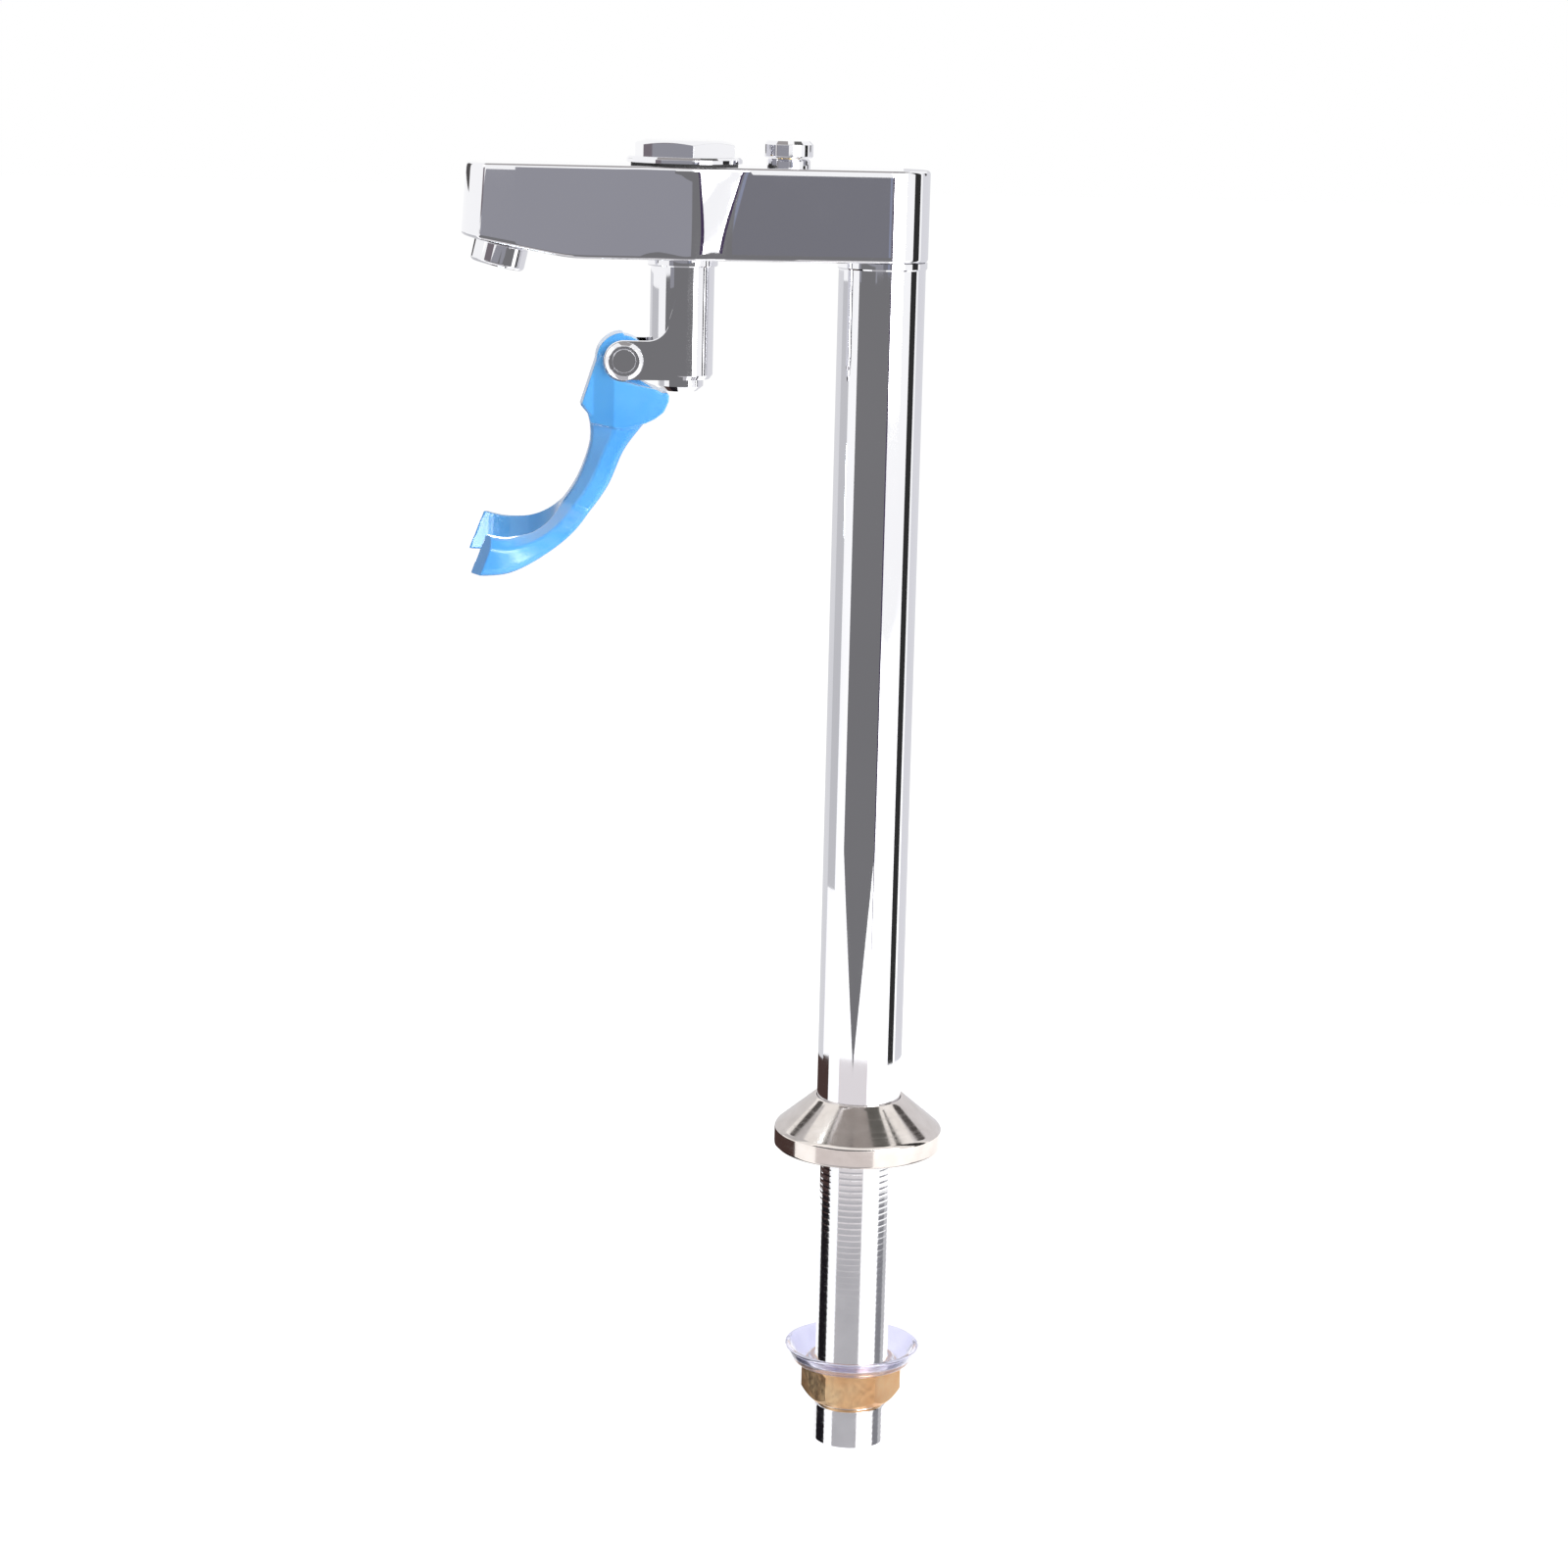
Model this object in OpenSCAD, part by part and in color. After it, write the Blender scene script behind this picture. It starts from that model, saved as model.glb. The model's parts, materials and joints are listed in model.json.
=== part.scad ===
// Push-handle table tap: a deck pedestal with a box arm, a push-up valve and a forked lever.
// +Z is up, the spout reaches towards -Y, and the origin is on the column axis at the deck.

/* [Riser and base] */
// Wall of the column tube
riser_wall = 1.5; // [1:0.1:1.5]
// Height of the arm's underside above the deck
arm_under_z = 253; // [180:1:400]
// Height of the foot of the column inside the escutcheon
riser_foot_z = 9; // [8:0.5:11]
// Diameter of the escutcheon
base_d = 48; // [44:1:60]
// Wall of the escutcheon round the recess for its gasket
base_wall = 3.5; // [2:0.1:5]
// Height of the escutcheon's upright rim
base_rim_h = 5.6; // [5:0.2:6.5]
// Height of the escutcheon's neck
base_neck_z = 15.2; // [13:0.2:20]
// Depth of the recess under the escutcheon
base_recess_h = 3; // [2:0.5:3.5]

/* [Shank and its fixings] */
// Outside diameter of the half-inch pipe thread
shank_d = 20.955; // [20.9:0.005:21]
// Water bore of the shank
shank_bore_d = 15; // [12:0.5:16]
// Length of the shank below the deck
shank_drop = 90; // [80:1:120]
// Length of the free threaded end that takes the supply's coupling
tail_h = 12; // [10:0.5:13]
// Height of the shank's upper end inside the column
shank_top_z = 30; // [22:1:60]
// Diameter of the dished plastic washer
washer_d = 38.9; // [34:0.1:44]
// Height of the dished washer
washer_h = 5.9; // [4:0.1:8]
// Wall of the dished washer
washer_wall = 1.4; // [1:0.1:2]
// Height of the washer's underside
washer_z = -66; // [-68:1:-30]
// Wall of the locknut between the pipe thread and its flats
nut_wall = 2.0225; // [1.8:0.0005:4.5]
// Height of the locknut
nut_h = 10.4; // [6:0.2:13]

/* [Arm] */
// How far each side of the arm stands out past the column
arm_side = 0.5; // [0.4:0.1:1.5]
// Height of the arm over the column
arm_h = 25; // [25:0.5:30]
// Reach of the nose from the column axis
nose_reach = 114.3; // [112:0.5:150]
// Radius of the nose seen from above
nose_r = 19; // [16:0.5:30]
// How far the foot of the nose stands forward of its top
nose_rake = 1.2; // [0:0.1:3]
// Distance from the column axis at which the underside starts to climb
climb_start = 86; // [80:0.5:92]
// Slope of the climbing underside
climb_deg = 10.5; // [6:0.5:12]
// Rounding of the arm's long edges
edge_r = 1; // [0.4:0.1:1.6]
// How far the valve boss stands out of the side at the top
boss_top = 4; // [3.5:0.1:5]
// How far the valve boss stands out of the side at the underside
boss_foot = 1.8; // [0.5:0.1:3]
// Half length of the boss's swell at the top
swell_top = 18; // [16:0.5:20]
// Half length of the boss's swell at the underside
swell_foot = 12.5; // [11:0.5:16]

/* [Valve] */
// Distance from the column axis to the valve axis
valve_y = 55; // [54:0.5:60]
// Diameter of the valve housing
housing_d = 17.5; // [17.5:0.1:18]
// Height of the valve housing's foot above the deck, given as a drop below the arm
housing_drop = 32.7; // [32:0.1:36]
// Step from the housing to the spigot that screws into the arm
spigot_step = 0.75; // [0.5:0.05:1.5]
// Diameter of the push button
button_d = 12.4; // [12:0.1:12.6]
// Drop of the push button's face below the housing's foot
button_proud = 3.4; // [3.2:0.1:4]
// Diameter of the valve stem
stem_d = 5; // [4:0.1:5.4]
// Bore of the valve seat
seat_bore_d = 9; // [8:0.5:10]
// Diameter of the rubber valve disc
disc_d = 13; // [12:0.5:15]
// Stroke of the push button at full travel
valve_stroke = 2.8; // [2.4:0.1:3]
// Width of the hexagonal cap across its flats
cap_af = 25; // [24:0.5:27]
// Height of the hexagon of the cap
cap_hex_h = 4.5; // [4:0.1:7]
// Diameter of the cap's round flange
cap_flange_d = 31.6; // [30:0.2:34]
// Turn of the cap's hexagon
cap_turn = 5.5; // [-30:0.1:30]
// Mean diameter of the return spring
spring_d = 9.4; // [8.6:0.1:9.6]
// Wire of the return spring
spring_wire = 1.1; // [0.8:0.1:1.3]
// Turns of the return spring
spring_turns = 4; // [3:1:5]

/* [Flow regulator] */
// Distance from the column axis to the regulator axis
regulator_y = 26.6; // [25.5:0.1:27.5]
// Diameter of the regulator knob
knob_d = 13.4; // [13:0.2:16]
// Height of the regulator knob
knob_h = 4.5; // [4:0.1:7]
// Diameter of the regulator gland
gland_d = 12; // [11.6:0.1:12.4]
// Diameter of the regulator plug
plug_d = 10; // [9.6:0.1:10.4]

/* [Spout] */
// Distance from the nose back to the nozzle where it leaves the underside
nozzle_back = 9.9; // [9.3:0.1:11.3]
// Diameter of the nozzle
nozzle_d = 15; // [14:0.2:15.6]
// Length of the nozzle below the underside
nozzle_h = 6.4; // [5:0.2:9]
// Lean of the nozzle towards the front
nozzle_tilt = 13; // [8:1:16]
// Bore at the mouth of the nozzle
nozzle_bore_d = 9.6; // [8:0.2:10]
// Bore of the waterway from the column to the valve
inlet_way_d = 6.6; // [5:0.2:7]
// Bore of the waterway from the valve to the nozzle
outlet_way_d = 4.6; // [4:0.2:5]

/* [Lever] */
// Distance of the pivot in front of the valve axis
pivot_front = 16.1; // [16:0.1:17]
// Height of the pivot above the foot of the valve housing
pivot_up = 5.1; // [4.9:0.1:5.5]
// Diameter of the pivot pin
pin_d = 5; // [4:0.1:5.6]
// Diameter of the raised disc in the middle of the pivot pin's head
pin_disc_d = 4.7; // [4:0.1:5]
// Radius of the rounded ends of the clevis ears
ear_r = 5.4; // [5.2:0.1:5.6]
// Thickness of one clevis ear
ear_t = 3; // [2.6:0.1:3.2]
// Width of the lever's hub between the ears
hub_w = 10.6; // [10:0.1:11]
// Radius of the front of the lever's hub
hub_r = 7.4; // [7.2:0.1:7.8]
// Width of the lever's block below the ears
block_w = 16.4; // [15:0.2:18]
// Width of the lever's stem
stem_w = 15; // [12:0.5:16]
// Inside radius of the fork that takes the glass
fork_in_r = 24; // [20:0.5:26]
// Thickness of the fork's horns
fork_wall = 6.5; // [5:0.5:8]
// Distance of the fork's centre in front of the pivot
fork_front = 42.4; // [41:0.2:44]

/* [Fits] */
// Radial clearance of a turning or sliding fit
run_gap = 0.05; // [0.02:0.01:0.08]
// Radial clearance of a threaded or pressed seat
seat_gap = 0.02; // [0.01:0.01:0.04]
// Radial clearance of the shank in the column
riser_gap = 0.0225; // [0.02:0.0025:0.1]
// Clearance between faces that pass each other
side_gap = 0.3; // [0.25:0.05:0.5]

/* [Hidden] */
$fn = 96;
// How far a cut or a joined piece runs past the face that it meets
overrun = 0.5;

arm_top_z = arm_under_z + arm_h;
riser_bore_d = shank_d + 2 * riser_gap;
riser_d = riser_bore_d + 2 * riser_wall;
half_w = riser_d / 2 + arm_side;
nozzle_y = nose_reach - nozzle_back;
nut_af = shank_d + 2 * nut_wall;
base_bore_d = riser_d + 0.2;

// Heights of the valve, counted from the arm's underside
housing_foot_z = arm_under_z - housing_drop;
spigot_top_z = arm_under_z + 3.4;
seat_foot_z = arm_under_z + 8.6;
seat_face_z = arm_under_z + 11.5;
seat_lip_h = 0.8;
disc_foot_z = seat_face_z + seat_lip_h + 0.05;
disc_t = 2.4;
cap_skirt_z = arm_top_z - 5.4;
gasket_t = 0.8;
cap_flange_z = arm_top_z + gasket_t;
cap_flange_t = 1.6;
cap_hex_z = cap_flange_z + cap_flange_t;
cap_ceiling_z = cap_hex_z + 1.4;
housing_bore_d = button_d + 2 * run_gap;
lower_bore_d = housing_d - 2 * spigot_step;
chamber_d = 20;
cap_thread_d = 22;
packing_d = 10;
packing_foot_z = housing_foot_z + 11.7;
packing_top_z = packing_foot_z + 8.3;
button_face_z = housing_foot_z - button_proud;
button_top_z = packing_foot_z - valve_stroke - 1;
stem_foot_z = button_face_z + 4;
stem_top_z = disc_foot_z + disc_t + 2.6;
spring_foot_z = disc_foot_z + disc_t + 1.9;

// Heights of the waterways
inlet_way_z = arm_under_z + 15.5;
outlet_way_z = arm_under_z + 6.2;
climb_tan = tan(climb_deg);

// The pivot and the lever's frame
pivot_y = -valve_y - pivot_front;
pivot_z = housing_foot_z + pivot_up;
ear_in = hub_w / 2 + side_gap;
ear_out = ear_in + ear_t;

// The raised ring round the pivot on the near ear, and the pocket for the pin's head
boss_ring_r = 4.57;
boss_ring_wire = 1.44;
head_room_d = 7.9;
head_room_h = 0.5;
fork_out_r = fork_in_r + fork_wall;

// A ring-by-ring skin: every ring has n points, counter-clockwise as the next ring sees them
function skin_sides(n, m) = [for (i = [0:m - 2], j = [0:n - 1]) each [
    [i * n + j, (i + 1) * n + (j + 1) % n, i * n + (j + 1) % n],
    [i * n + j, (i + 1) * n + j, (i + 1) * n + (j + 1) % n]]];
function flat_caps(n, m) = [[for (j = [0:n - 1]) j], [for (j = [n - 1:-1:0]) (m - 1) * n + j]];
function flatten(rings) = [for (r = rings) each r];

// A smooth curve through hand-set points: value at u from 0 to len - 1
function spline_at(p, u) = let (
    k = min(floor(u), len(p) - 2), t = u - k,
    a = p[max(k - 1, 0)], b = p[k], c = p[k + 1], d = p[min(k + 2, len(p) - 1)])
    0.5 * (2 * b + (c - a) * t + (2 * a - 5 * b + 4 * c - d) * t * t + (3 * b - a - 3 * c + d) * t * t * t);

// Height of the arm's underside at a distance in front of the column, with a soft start
climb_blend = 8;
function underside(y) = let (d = -y - climb_start, h = climb_blend / 2)
    arm_under_z + (d < -h ? 0 : d < h ? (d + h) * (d + h) / (2 * climb_blend) * climb_tan : d * climb_tan);

// Half of the arm seen from above, from the nose to the heel: [x, y, nx, ny, nose share, swell share]
nose_end = asin((half_w - 0.9) / nose_r);
nose_side_y = -nose_reach + nose_r * (1 - cos(nose_end)) + 0.8;
swell_u = [for (i = [-7:7]) i / 7];
nose_half = [for (i = [0:6]) let (a = nose_end * i / 6)
    [nose_r * sin(a), -nose_reach + nose_r * (1 - cos(a)), sin(a), -cos(a), 1, 2]];
side_half = concat([[half_w, nose_side_y, 0.9, -0.4, 1, 2]],
    [for (i = [1:4]) [half_w, nose_side_y + (-valve_y - swell_top - nose_side_y) * i / 5, 1, 0, 0, 2]],
    [for (u = swell_u) [half_w, -valve_y, 1, 0, 0, u]]);
heel_half = [for (i = [0:8]) let (a = 90 * i / 8) [half_w * cos(a), half_w * sin(a), cos(a), sin(a), 0, 2]];
half_plan = concat(nose_half, side_half, heel_half);
plan_n = len(half_plan) - 1;

// One point of the arm's skin: share t of the height, inset d from the full outline
function swell_len(t) = swell_foot + (swell_top - swell_foot) * t;
function swell_out(t) = boss_foot + (boss_top - boss_foot) * t * t;
function skin_point(p, t, rise, d) = let (
    in_swell = p[5] < 1.5,
    y0 = in_swell ? -valve_y + swell_len(t) * p[5] : p[1],
    x0 = p[0] + (in_swell ? swell_out(t) * pow(cos(90 * p[5]), 2) : 0),
    y = y0 - d * p[3] - nose_rake * (1 - t) * p[4],
    zu = underside(y))
    [x0 - d * p[2], y, zu + (arm_top_z - zu) * t + rise];
function skin_ring(t, rise, d) = concat(
    [for (j = [0:plan_n]) skin_point(half_plan[j], t, rise, d)],
    [for (j = [plan_n - 1:-1:1]) let (q = skin_point(half_plan[j], t, rise, d)) [-q[0], q[1], q[2]]]);
arc_in = edge_r * (1 - sin(45));
skin_levels = [[0, 0, edge_r], [0, arc_in, arc_in], [0, edge_r, 0], [0.3, 0, 0], [0.55, 0, 0], [0.78, 0, 0],
    [1, -edge_r, 0], [1, -arc_in, arc_in], [1, 0, edge_r]];
function strip_cap(n) = concat([[0, 1, n - 1]],
    [for (j = [1:n / 2 - 2]) [j, j + 1, n - j - 1, n - j]], [[n / 2 - 1, n / 2, n / 2 + 1]]);
function reversed(f) = [for (i = [len(f) - 1:-1:0]) f[i]];

module arm_skin() {
    n = 2 * plan_n;
    m = len(skin_levels);
    rings = [for (s = skin_levels) skin_ring(s[0], s[1], s[2])];
    top = [for (f = strip_cap(n)) reversed([for (k = f) k + (m - 1) * n])];
    polyhedron(flatten(rings), concat(skin_sides(n, m), strip_cap(n), top), convexity = 6);
}

module at_valve() { translate([0, -valve_y, 0]) children(); }
module at_regulator() { translate([0, -regulator_y, 0]) children(); }
module at_pivot() { translate([0, pivot_y, pivot_z]) children(); }
module at_nozzle() {
    translate([0, -nozzle_y, underside(-nozzle_y)]) rotate([-nozzle_tilt, 0, 0]) children();
}
module shaft(d, z0, z1) { translate([0, 0, z0]) cylinder(d = d, h = z1 - z0); }
module ring(od, id, z0, z1) {
    difference() { shaft(od, z0, z1); shaft(id, z0 - overrun, z1 + overrun); }
}
module cross_bar(d, w) { rotate([0, 90, 0]) cylinder(d = d, h = w, center = true); }
module hexagon(af, z0, z1) { translate([0, 0, z0]) cylinder(d = af / cos(30), h = z1 - z0, $fn = 6); }
module o_ring(inner_d, wire, z) {
    translate([0, 0, z]) rotate_extrude() translate([inner_d / 2 + wire / 2, 0]) circle(d = wire, $fn = 24);
}
// The groove round a shaft of diameter d and the O-ring that sits in it
groove_depth = 1.05;
groove_h = 1.2;
groove_wire = 1;
module seal_groove(d, z) {
    translate([0, 0, z - groove_h / 2]) rotate_extrude() translate([d / 2 - groove_depth, 0])
        square([groove_depth + overrun, groove_h]);
}
module groove_ring(d, z) { o_ring(d - 2 * groove_depth + 2 * run_gap, groove_wire, z); }
// A side view drawn with Y across and Z up, as thick as w
module side_plate(w) { rotate([90, 0, 90]) linear_extrude(w, center = true) children(); }

// The cast head: arm, valve boss and their waterways
union_spigot_d = 16;
head_well_d = 9;
union_socket_z = arm_under_z + 12;
plug_foot_z = inlet_way_z - 6;
gland_foot_z = arm_top_z - 3.6;
nozzle_spigot_d = 12;
nozzle_spigot_h = 3.9;
module head_body() color([0.78, 0.79, 0.82]) difference() {
    arm_skin();
    shaft(union_spigot_d + 2 * seat_gap, arm_under_z - overrun, union_socket_z);
    shaft(head_well_d, arm_under_z, inlet_way_z + inlet_way_d / 2 + 0.8);
    translate([0, 0, inlet_way_z]) rotate([90, 0, 0]) cylinder(d = inlet_way_d, h = valve_y);
    at_valve() {
        shaft(lower_bore_d, arm_under_z - 1, seat_face_z);
        shaft(chamber_d, seat_face_z, cap_skirt_z);
        shaft(cap_thread_d, cap_skirt_z - 0.4, arm_top_z + 1);
    }
    translate([0, -valve_y, outlet_way_z]) rotate([90, 0, 0]) cylinder(d = outlet_way_d, h = nozzle_y - valve_y);
    at_regulator() {
        shaft(plug_d + 2 * run_gap, plug_foot_z - 0.2, gland_foot_z + overrun);
        shaft(gland_d + 2 * seat_gap, gland_foot_z, arm_top_z + overrun);
    }
    at_nozzle() shaft(nozzle_spigot_d + 2 * seat_gap, -2, nozzle_spigot_h + 0.3);
}

// The hexagonal cap over the valve chamber, with its spring pocket
module valve_cap() color([0.8, 0.81, 0.84]) at_valve() difference() {
    union() {
        intersection() {
            rotate([0, 0, cap_turn]) hexagon(cap_af, cap_hex_z - overrun, cap_hex_z + cap_hex_h);
            translate([0, 0, cap_hex_z]) rotate_extrude() polygon([[0, -overrun], [cap_af * 0.6, -overrun],
                [cap_af * 0.6, cap_hex_h - 1.4], [cap_af * 0.47, cap_hex_h - 0.4], [cap_af * 0.42, cap_hex_h],
                [0, cap_hex_h]]);
        }
        translate([0, 0, cap_flange_z]) rotate_extrude() polygon([[0, 0], [cap_flange_d / 2, 0],
            [cap_flange_d / 2, cap_flange_t - 0.6], [cap_flange_d / 2 - 0.6, cap_flange_t], [0, cap_flange_t]]);
        shaft(cap_thread_d - 2 * seat_gap, cap_skirt_z, cap_flange_z + overrun);
    }
    shaft(spring_d + spring_wire + 0.8, cap_skirt_z - overrun, cap_ceiling_z);
}

// The flat seal under the cap
module cap_gasket() color([0.15, 0.15, 0.16]) at_valve()
    ring(cap_flange_d - 2.4, cap_thread_d + 0.4, arm_top_z, cap_flange_z);

// The spring that shuts the valve: one helix from the stem nut to the cap
spring_gap = (cap_ceiling_z - spring_foot_z - spring_wire) / spring_turns - spring_wire;
echo(least_gap_between_spring_turns = spring_gap);
module return_spring() color([0.7, 0.7, 0.72]) at_valve() {
    steps = 16 * spring_turns;
    lead = (cap_ceiling_z - spring_foot_z - spring_wire - 0.2) / steps;
    rings = [for (i = [0:steps]) let (a = 360 * i / 16, z = spring_foot_z + 0.1 + spring_wire / 2 + lead * i)
        [for (k = [0:5]) let (r = spring_d / 2 + spring_wire / 2 * sin(60 * k))
            [r * cos(a), r * sin(a), z + spring_wire / 2 * cos(60 * k)]]];
    polyhedron(flatten(rings), concat(skin_sides(6, steps + 1), flat_caps(6, steps + 1)), convexity = 10);
}

// The stem, its disc, the nut over the disc and the button under the housing
module valve_stem() color([0.75, 0.65, 0.4]) at_valve() {
    shaft(stem_d, stem_foot_z, stem_top_z);
    ring(seat_bore_d - 1.4, stem_d - 0.2, disc_foot_z - 1.8, disc_foot_z);
}
module valve_disc() color([0.12, 0.12, 0.12]) at_valve() ring(disc_d, stem_d + 2 * seat_gap, disc_foot_z,
    disc_foot_z + disc_t);
module stem_nut() color([0.75, 0.65, 0.4]) at_valve() difference() {
    hexagon(8, disc_foot_z + disc_t, disc_foot_z + disc_t + 1.9);
    shaft(stem_d + 2 * seat_gap, disc_foot_z, disc_foot_z + disc_t + 3);
}
button_face_d = 9;
module push_button() color([0.8, 0.81, 0.84]) at_valve() difference() {
    rotate_extrude() polygon([[0, button_face_z], [button_face_d / 2, button_face_z],
        [button_d / 2, button_face_z + 1.4], [button_d / 2, button_top_z], [0, button_top_z]]);
    shaft(stem_d + 2 * seat_gap, stem_foot_z, button_top_z + overrun);
}
module seat_ring() color([0.75, 0.65, 0.4]) at_valve() difference() {
    union() {
        shaft(lower_bore_d - 2 * seat_gap, seat_foot_z, seat_face_z);
        shaft(seat_bore_d + 2.4, seat_face_z - overrun, seat_face_z + seat_lip_h);
    }
    shaft(seat_bore_d, seat_foot_z - overrun, seat_face_z + 2);
}

// The housing under the arm: guide for the button, packing for the stem, and the clevis
ear_root = 3;
module ear_outline() {
    circle(r = ear_r);
    polygon([[0, -pivot_up], [pivot_front, -pivot_up], [pivot_front, ear_r],
        [0, ear_r], [-0.5 * ear_r, 0], [0, -ear_r]]);
    translate([pivot_front - housing_d / 2 - ear_root + 1.3, ear_r - 0.1]) difference() {
        square([ear_root + 3, ear_root]);
        translate([0, ear_root]) circle(r = ear_root);
    }
}
module valve_housing() color([0.78, 0.79, 0.82]) difference() {
    union() {
        at_valve() {
            translate([0, 0, housing_foot_z]) rotate_extrude() polygon([[0, 0], [housing_d / 2 - 0.9, 0],
                [housing_d / 2, 1.2], [housing_d / 2, housing_drop], [0, housing_drop]]);
            shaft(lower_bore_d - 2 * seat_gap, arm_under_z - overrun, spigot_top_z);
        }
        for (s = [-1, 1]) at_pivot() translate([s * (ear_in + ear_t / 2), 0, 0]) side_plate(ear_t) ear_outline();
        at_pivot() rotate([0, 90, 0]) o_ring(2 * boss_ring_r - boss_ring_wire, boss_ring_wire, ear_out);
    }
    at_valve() {
        shaft(housing_bore_d, housing_foot_z - 1, packing_foot_z);
        shaft(packing_d, packing_foot_z - 1, packing_top_z);
        shaft(stem_d + 2 * run_gap, packing_top_z - 1, spigot_top_z + 1);
    }
    at_pivot() {
        cross_bar(pin_d + 2 * seat_gap, 2 * ear_out + 6);
        rotate([0, 90, 0]) shaft(head_room_d, ear_out - head_room_h, ear_out + 2);
    }
}
module housing_ring() color([0.8, 0.81, 0.84]) at_valve() translate([0, 0, arm_under_z]) rotate_extrude()
    polygon([[housing_d / 2 + seat_gap, -2], [housing_d / 2 + 0.7, -2], [housing_d / 2 + 0.9, -1.7],
        [housing_d / 2 + 0.9, 0], [housing_d / 2 + seat_gap, 0]]);
module packing_gland() color([0.75, 0.65, 0.4]) at_valve()
    ring(packing_d - 2 * seat_gap, stem_d + 2 * run_gap, packing_foot_z, packing_foot_z + 3);
seal_wire = 2.2;
module stem_seals() color([0.12, 0.12, 0.12]) at_valve()
    for (k = [0, 1]) o_ring(stem_d + 0.1, seal_wire, packing_foot_z + 4.3 + k * (seal_wire + 0.2));

// The pivot pin, whose stepped head sits in the near ear, and the clip on its far end
clip_t = 0.8;
pin_end = ear_out + clip_t + 1.3;
pin_neck_d = pin_d - 1;
module pivot_pin() color([0.8, 0.81, 0.84]) at_pivot() rotate([0, 90, 0]) difference() {
    rotate_extrude() polygon([[0, -pin_end], [pin_d / 2 - 0.4, -pin_end], [pin_d / 2, -pin_end + 0.4],
        [pin_d / 2, ear_out - head_room_h], [head_room_d / 2 - run_gap, ear_out - head_room_h],
        [head_room_d / 2 - run_gap, ear_out - 0.1], [pin_disc_d / 2, ear_out - 0.1], [pin_disc_d / 2, ear_out + 0.45],
        [pin_disc_d / 2 - 0.2, ear_out + 0.65], [0, ear_out + 0.65]]);
    ring(pin_d + 2, pin_neck_d, -ear_out - clip_t - 0.05, -ear_out + 0.02);
}
module pin_clip() color([0.6, 0.6, 0.62]) at_pivot() rotate([0, 90, 0]) difference() {
    ring(pin_d + 3.4, pin_neck_d + 2 * seat_gap, -ear_out - clip_t, -ear_out);
    rotate([0, 0, 180]) translate([pin_d, 0, -ear_out]) cube([pin_d * 1.6, pin_d * 0.55, 8], center = true);
}

// The lever: hub between the ears, block under them, and a stem that opens into the fork.
// Its curves are drawn from the pivot, Y across and Z up.
front_line = [[-9.6, -13.8], [-8.6, -19.6], [-9.2, -25], [-12.4, -33.4], [-17.5, -40.6], [-24.2, -45.3],
    [-31.4, -46.7], [-37.6, -45.6]];
back_line = [[8.6, -13.8], [4.5, -18.8], [0.2, -25], [-4.1, -34.9], [-10.9, -43.9], [-19.9, -50.6],
    [-30.9, -55.8], [-41.6, -56.4]];
lever_steps = 24;
// How much the fork's inner wall opens for each millimetre of height
fork_flare = 0.1;
// Drop from the pivot at which the fork has its named radius
fork_root = 56;
function horn_half_w(y) = let (d = y + fork_front)
    abs(d) < fork_out_r ? sqrt(fork_out_r * fork_out_r - d * d) : 0;
function soft_max(a, b) = pow(pow(a, 5) + pow(b, 5), 0.2);
function lever_ring(i) = let (
    u = i / lever_steps * (len(front_line) - 1),
    f = spline_at(front_line, u), b = spline_at(back_line, u), d = f - b,
    share = i / lever_steps,
    shoulder = max(0, 1 - 4 * share) * (block_w - stem_w) / 2,
    w = soft_max(stem_w / 2 + shoulder, horn_half_w((f[0] + b[0]) / 2)),
    ridge = 0.6 + 0.22 * share,
    front_w = w * 0.42 + (w - 2.4 - w * 0.42) * min(1, max(0, 2.2 * share - 0.9)))
    [for (q = [[w - 1.3, 0], [w - 0.3, 0.05], [w, 0.2], [w, ridge - 0.08], [w - 0.4, ridge], [front_w + 0.6, 0.95],
        [front_w - 0.8, 1], [0.8 - front_w, 1], [-front_w - 0.6, 0.95], [0.4 - w, ridge], [-w, ridge - 0.08],
        [-w, 0.2], [0.3 - w, 0.05], [1.3 - w, 0]]) [q[0], b[0] + d[0] * q[1], b[1] + d[1] * q[1]]];
module lever_blade() {
    rings = [for (i = [0:lever_steps]) lever_ring(i)];
    polyhedron(flatten(rings), concat(skin_sides(14, lever_steps + 1), flat_caps(14, lever_steps + 1)),
        convexity = 6);
}
// The horns' ends lean back towards the outside: a wedge beyond a plane through each end
horn_end = [fork_in_r, -37.6, -45.6];
horn_end_rise = 0.37;
horn_end_turn = 0.44;
module horn_trim() {
    at = [for (z = [-14, 6], y = [-12, 0], x = [-1, 9]) [horn_end[0] + x,
        horn_end[1] + y + horn_end_turn * x + horn_end_rise * z, horn_end[2] + z]];
    polyhedron(at, [[0, 1, 3, 2], [4, 6, 7, 5], [0, 4, 5, 1], [2, 3, 7, 6], [0, 2, 6, 4], [1, 5, 7, 3]]);
}
pad_y = 12.5;
pad_z = -pivot_up - button_proud - 0.1;
module block_outline() difference() {
    polygon([[-6.4, 1.4], [-8.4, -4], [-11.5, -12.6], [-9.5, -14.9], [-8.8, -17.4], [0, -18.6], [6.2, -17],
        [8.7, -15.8], [11.1, -13.9], [12.4, -11], [pad_y, pad_z - 0.6], [pad_y - 0.6, pad_z],
        [pad_y - 2, pad_z], [pad_y - 3.6, pad_z + 0.9], [3.7, pad_z + 2], [0, pad_z + 3]]);
    circle(r = ear_r + side_gap);
}
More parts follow.
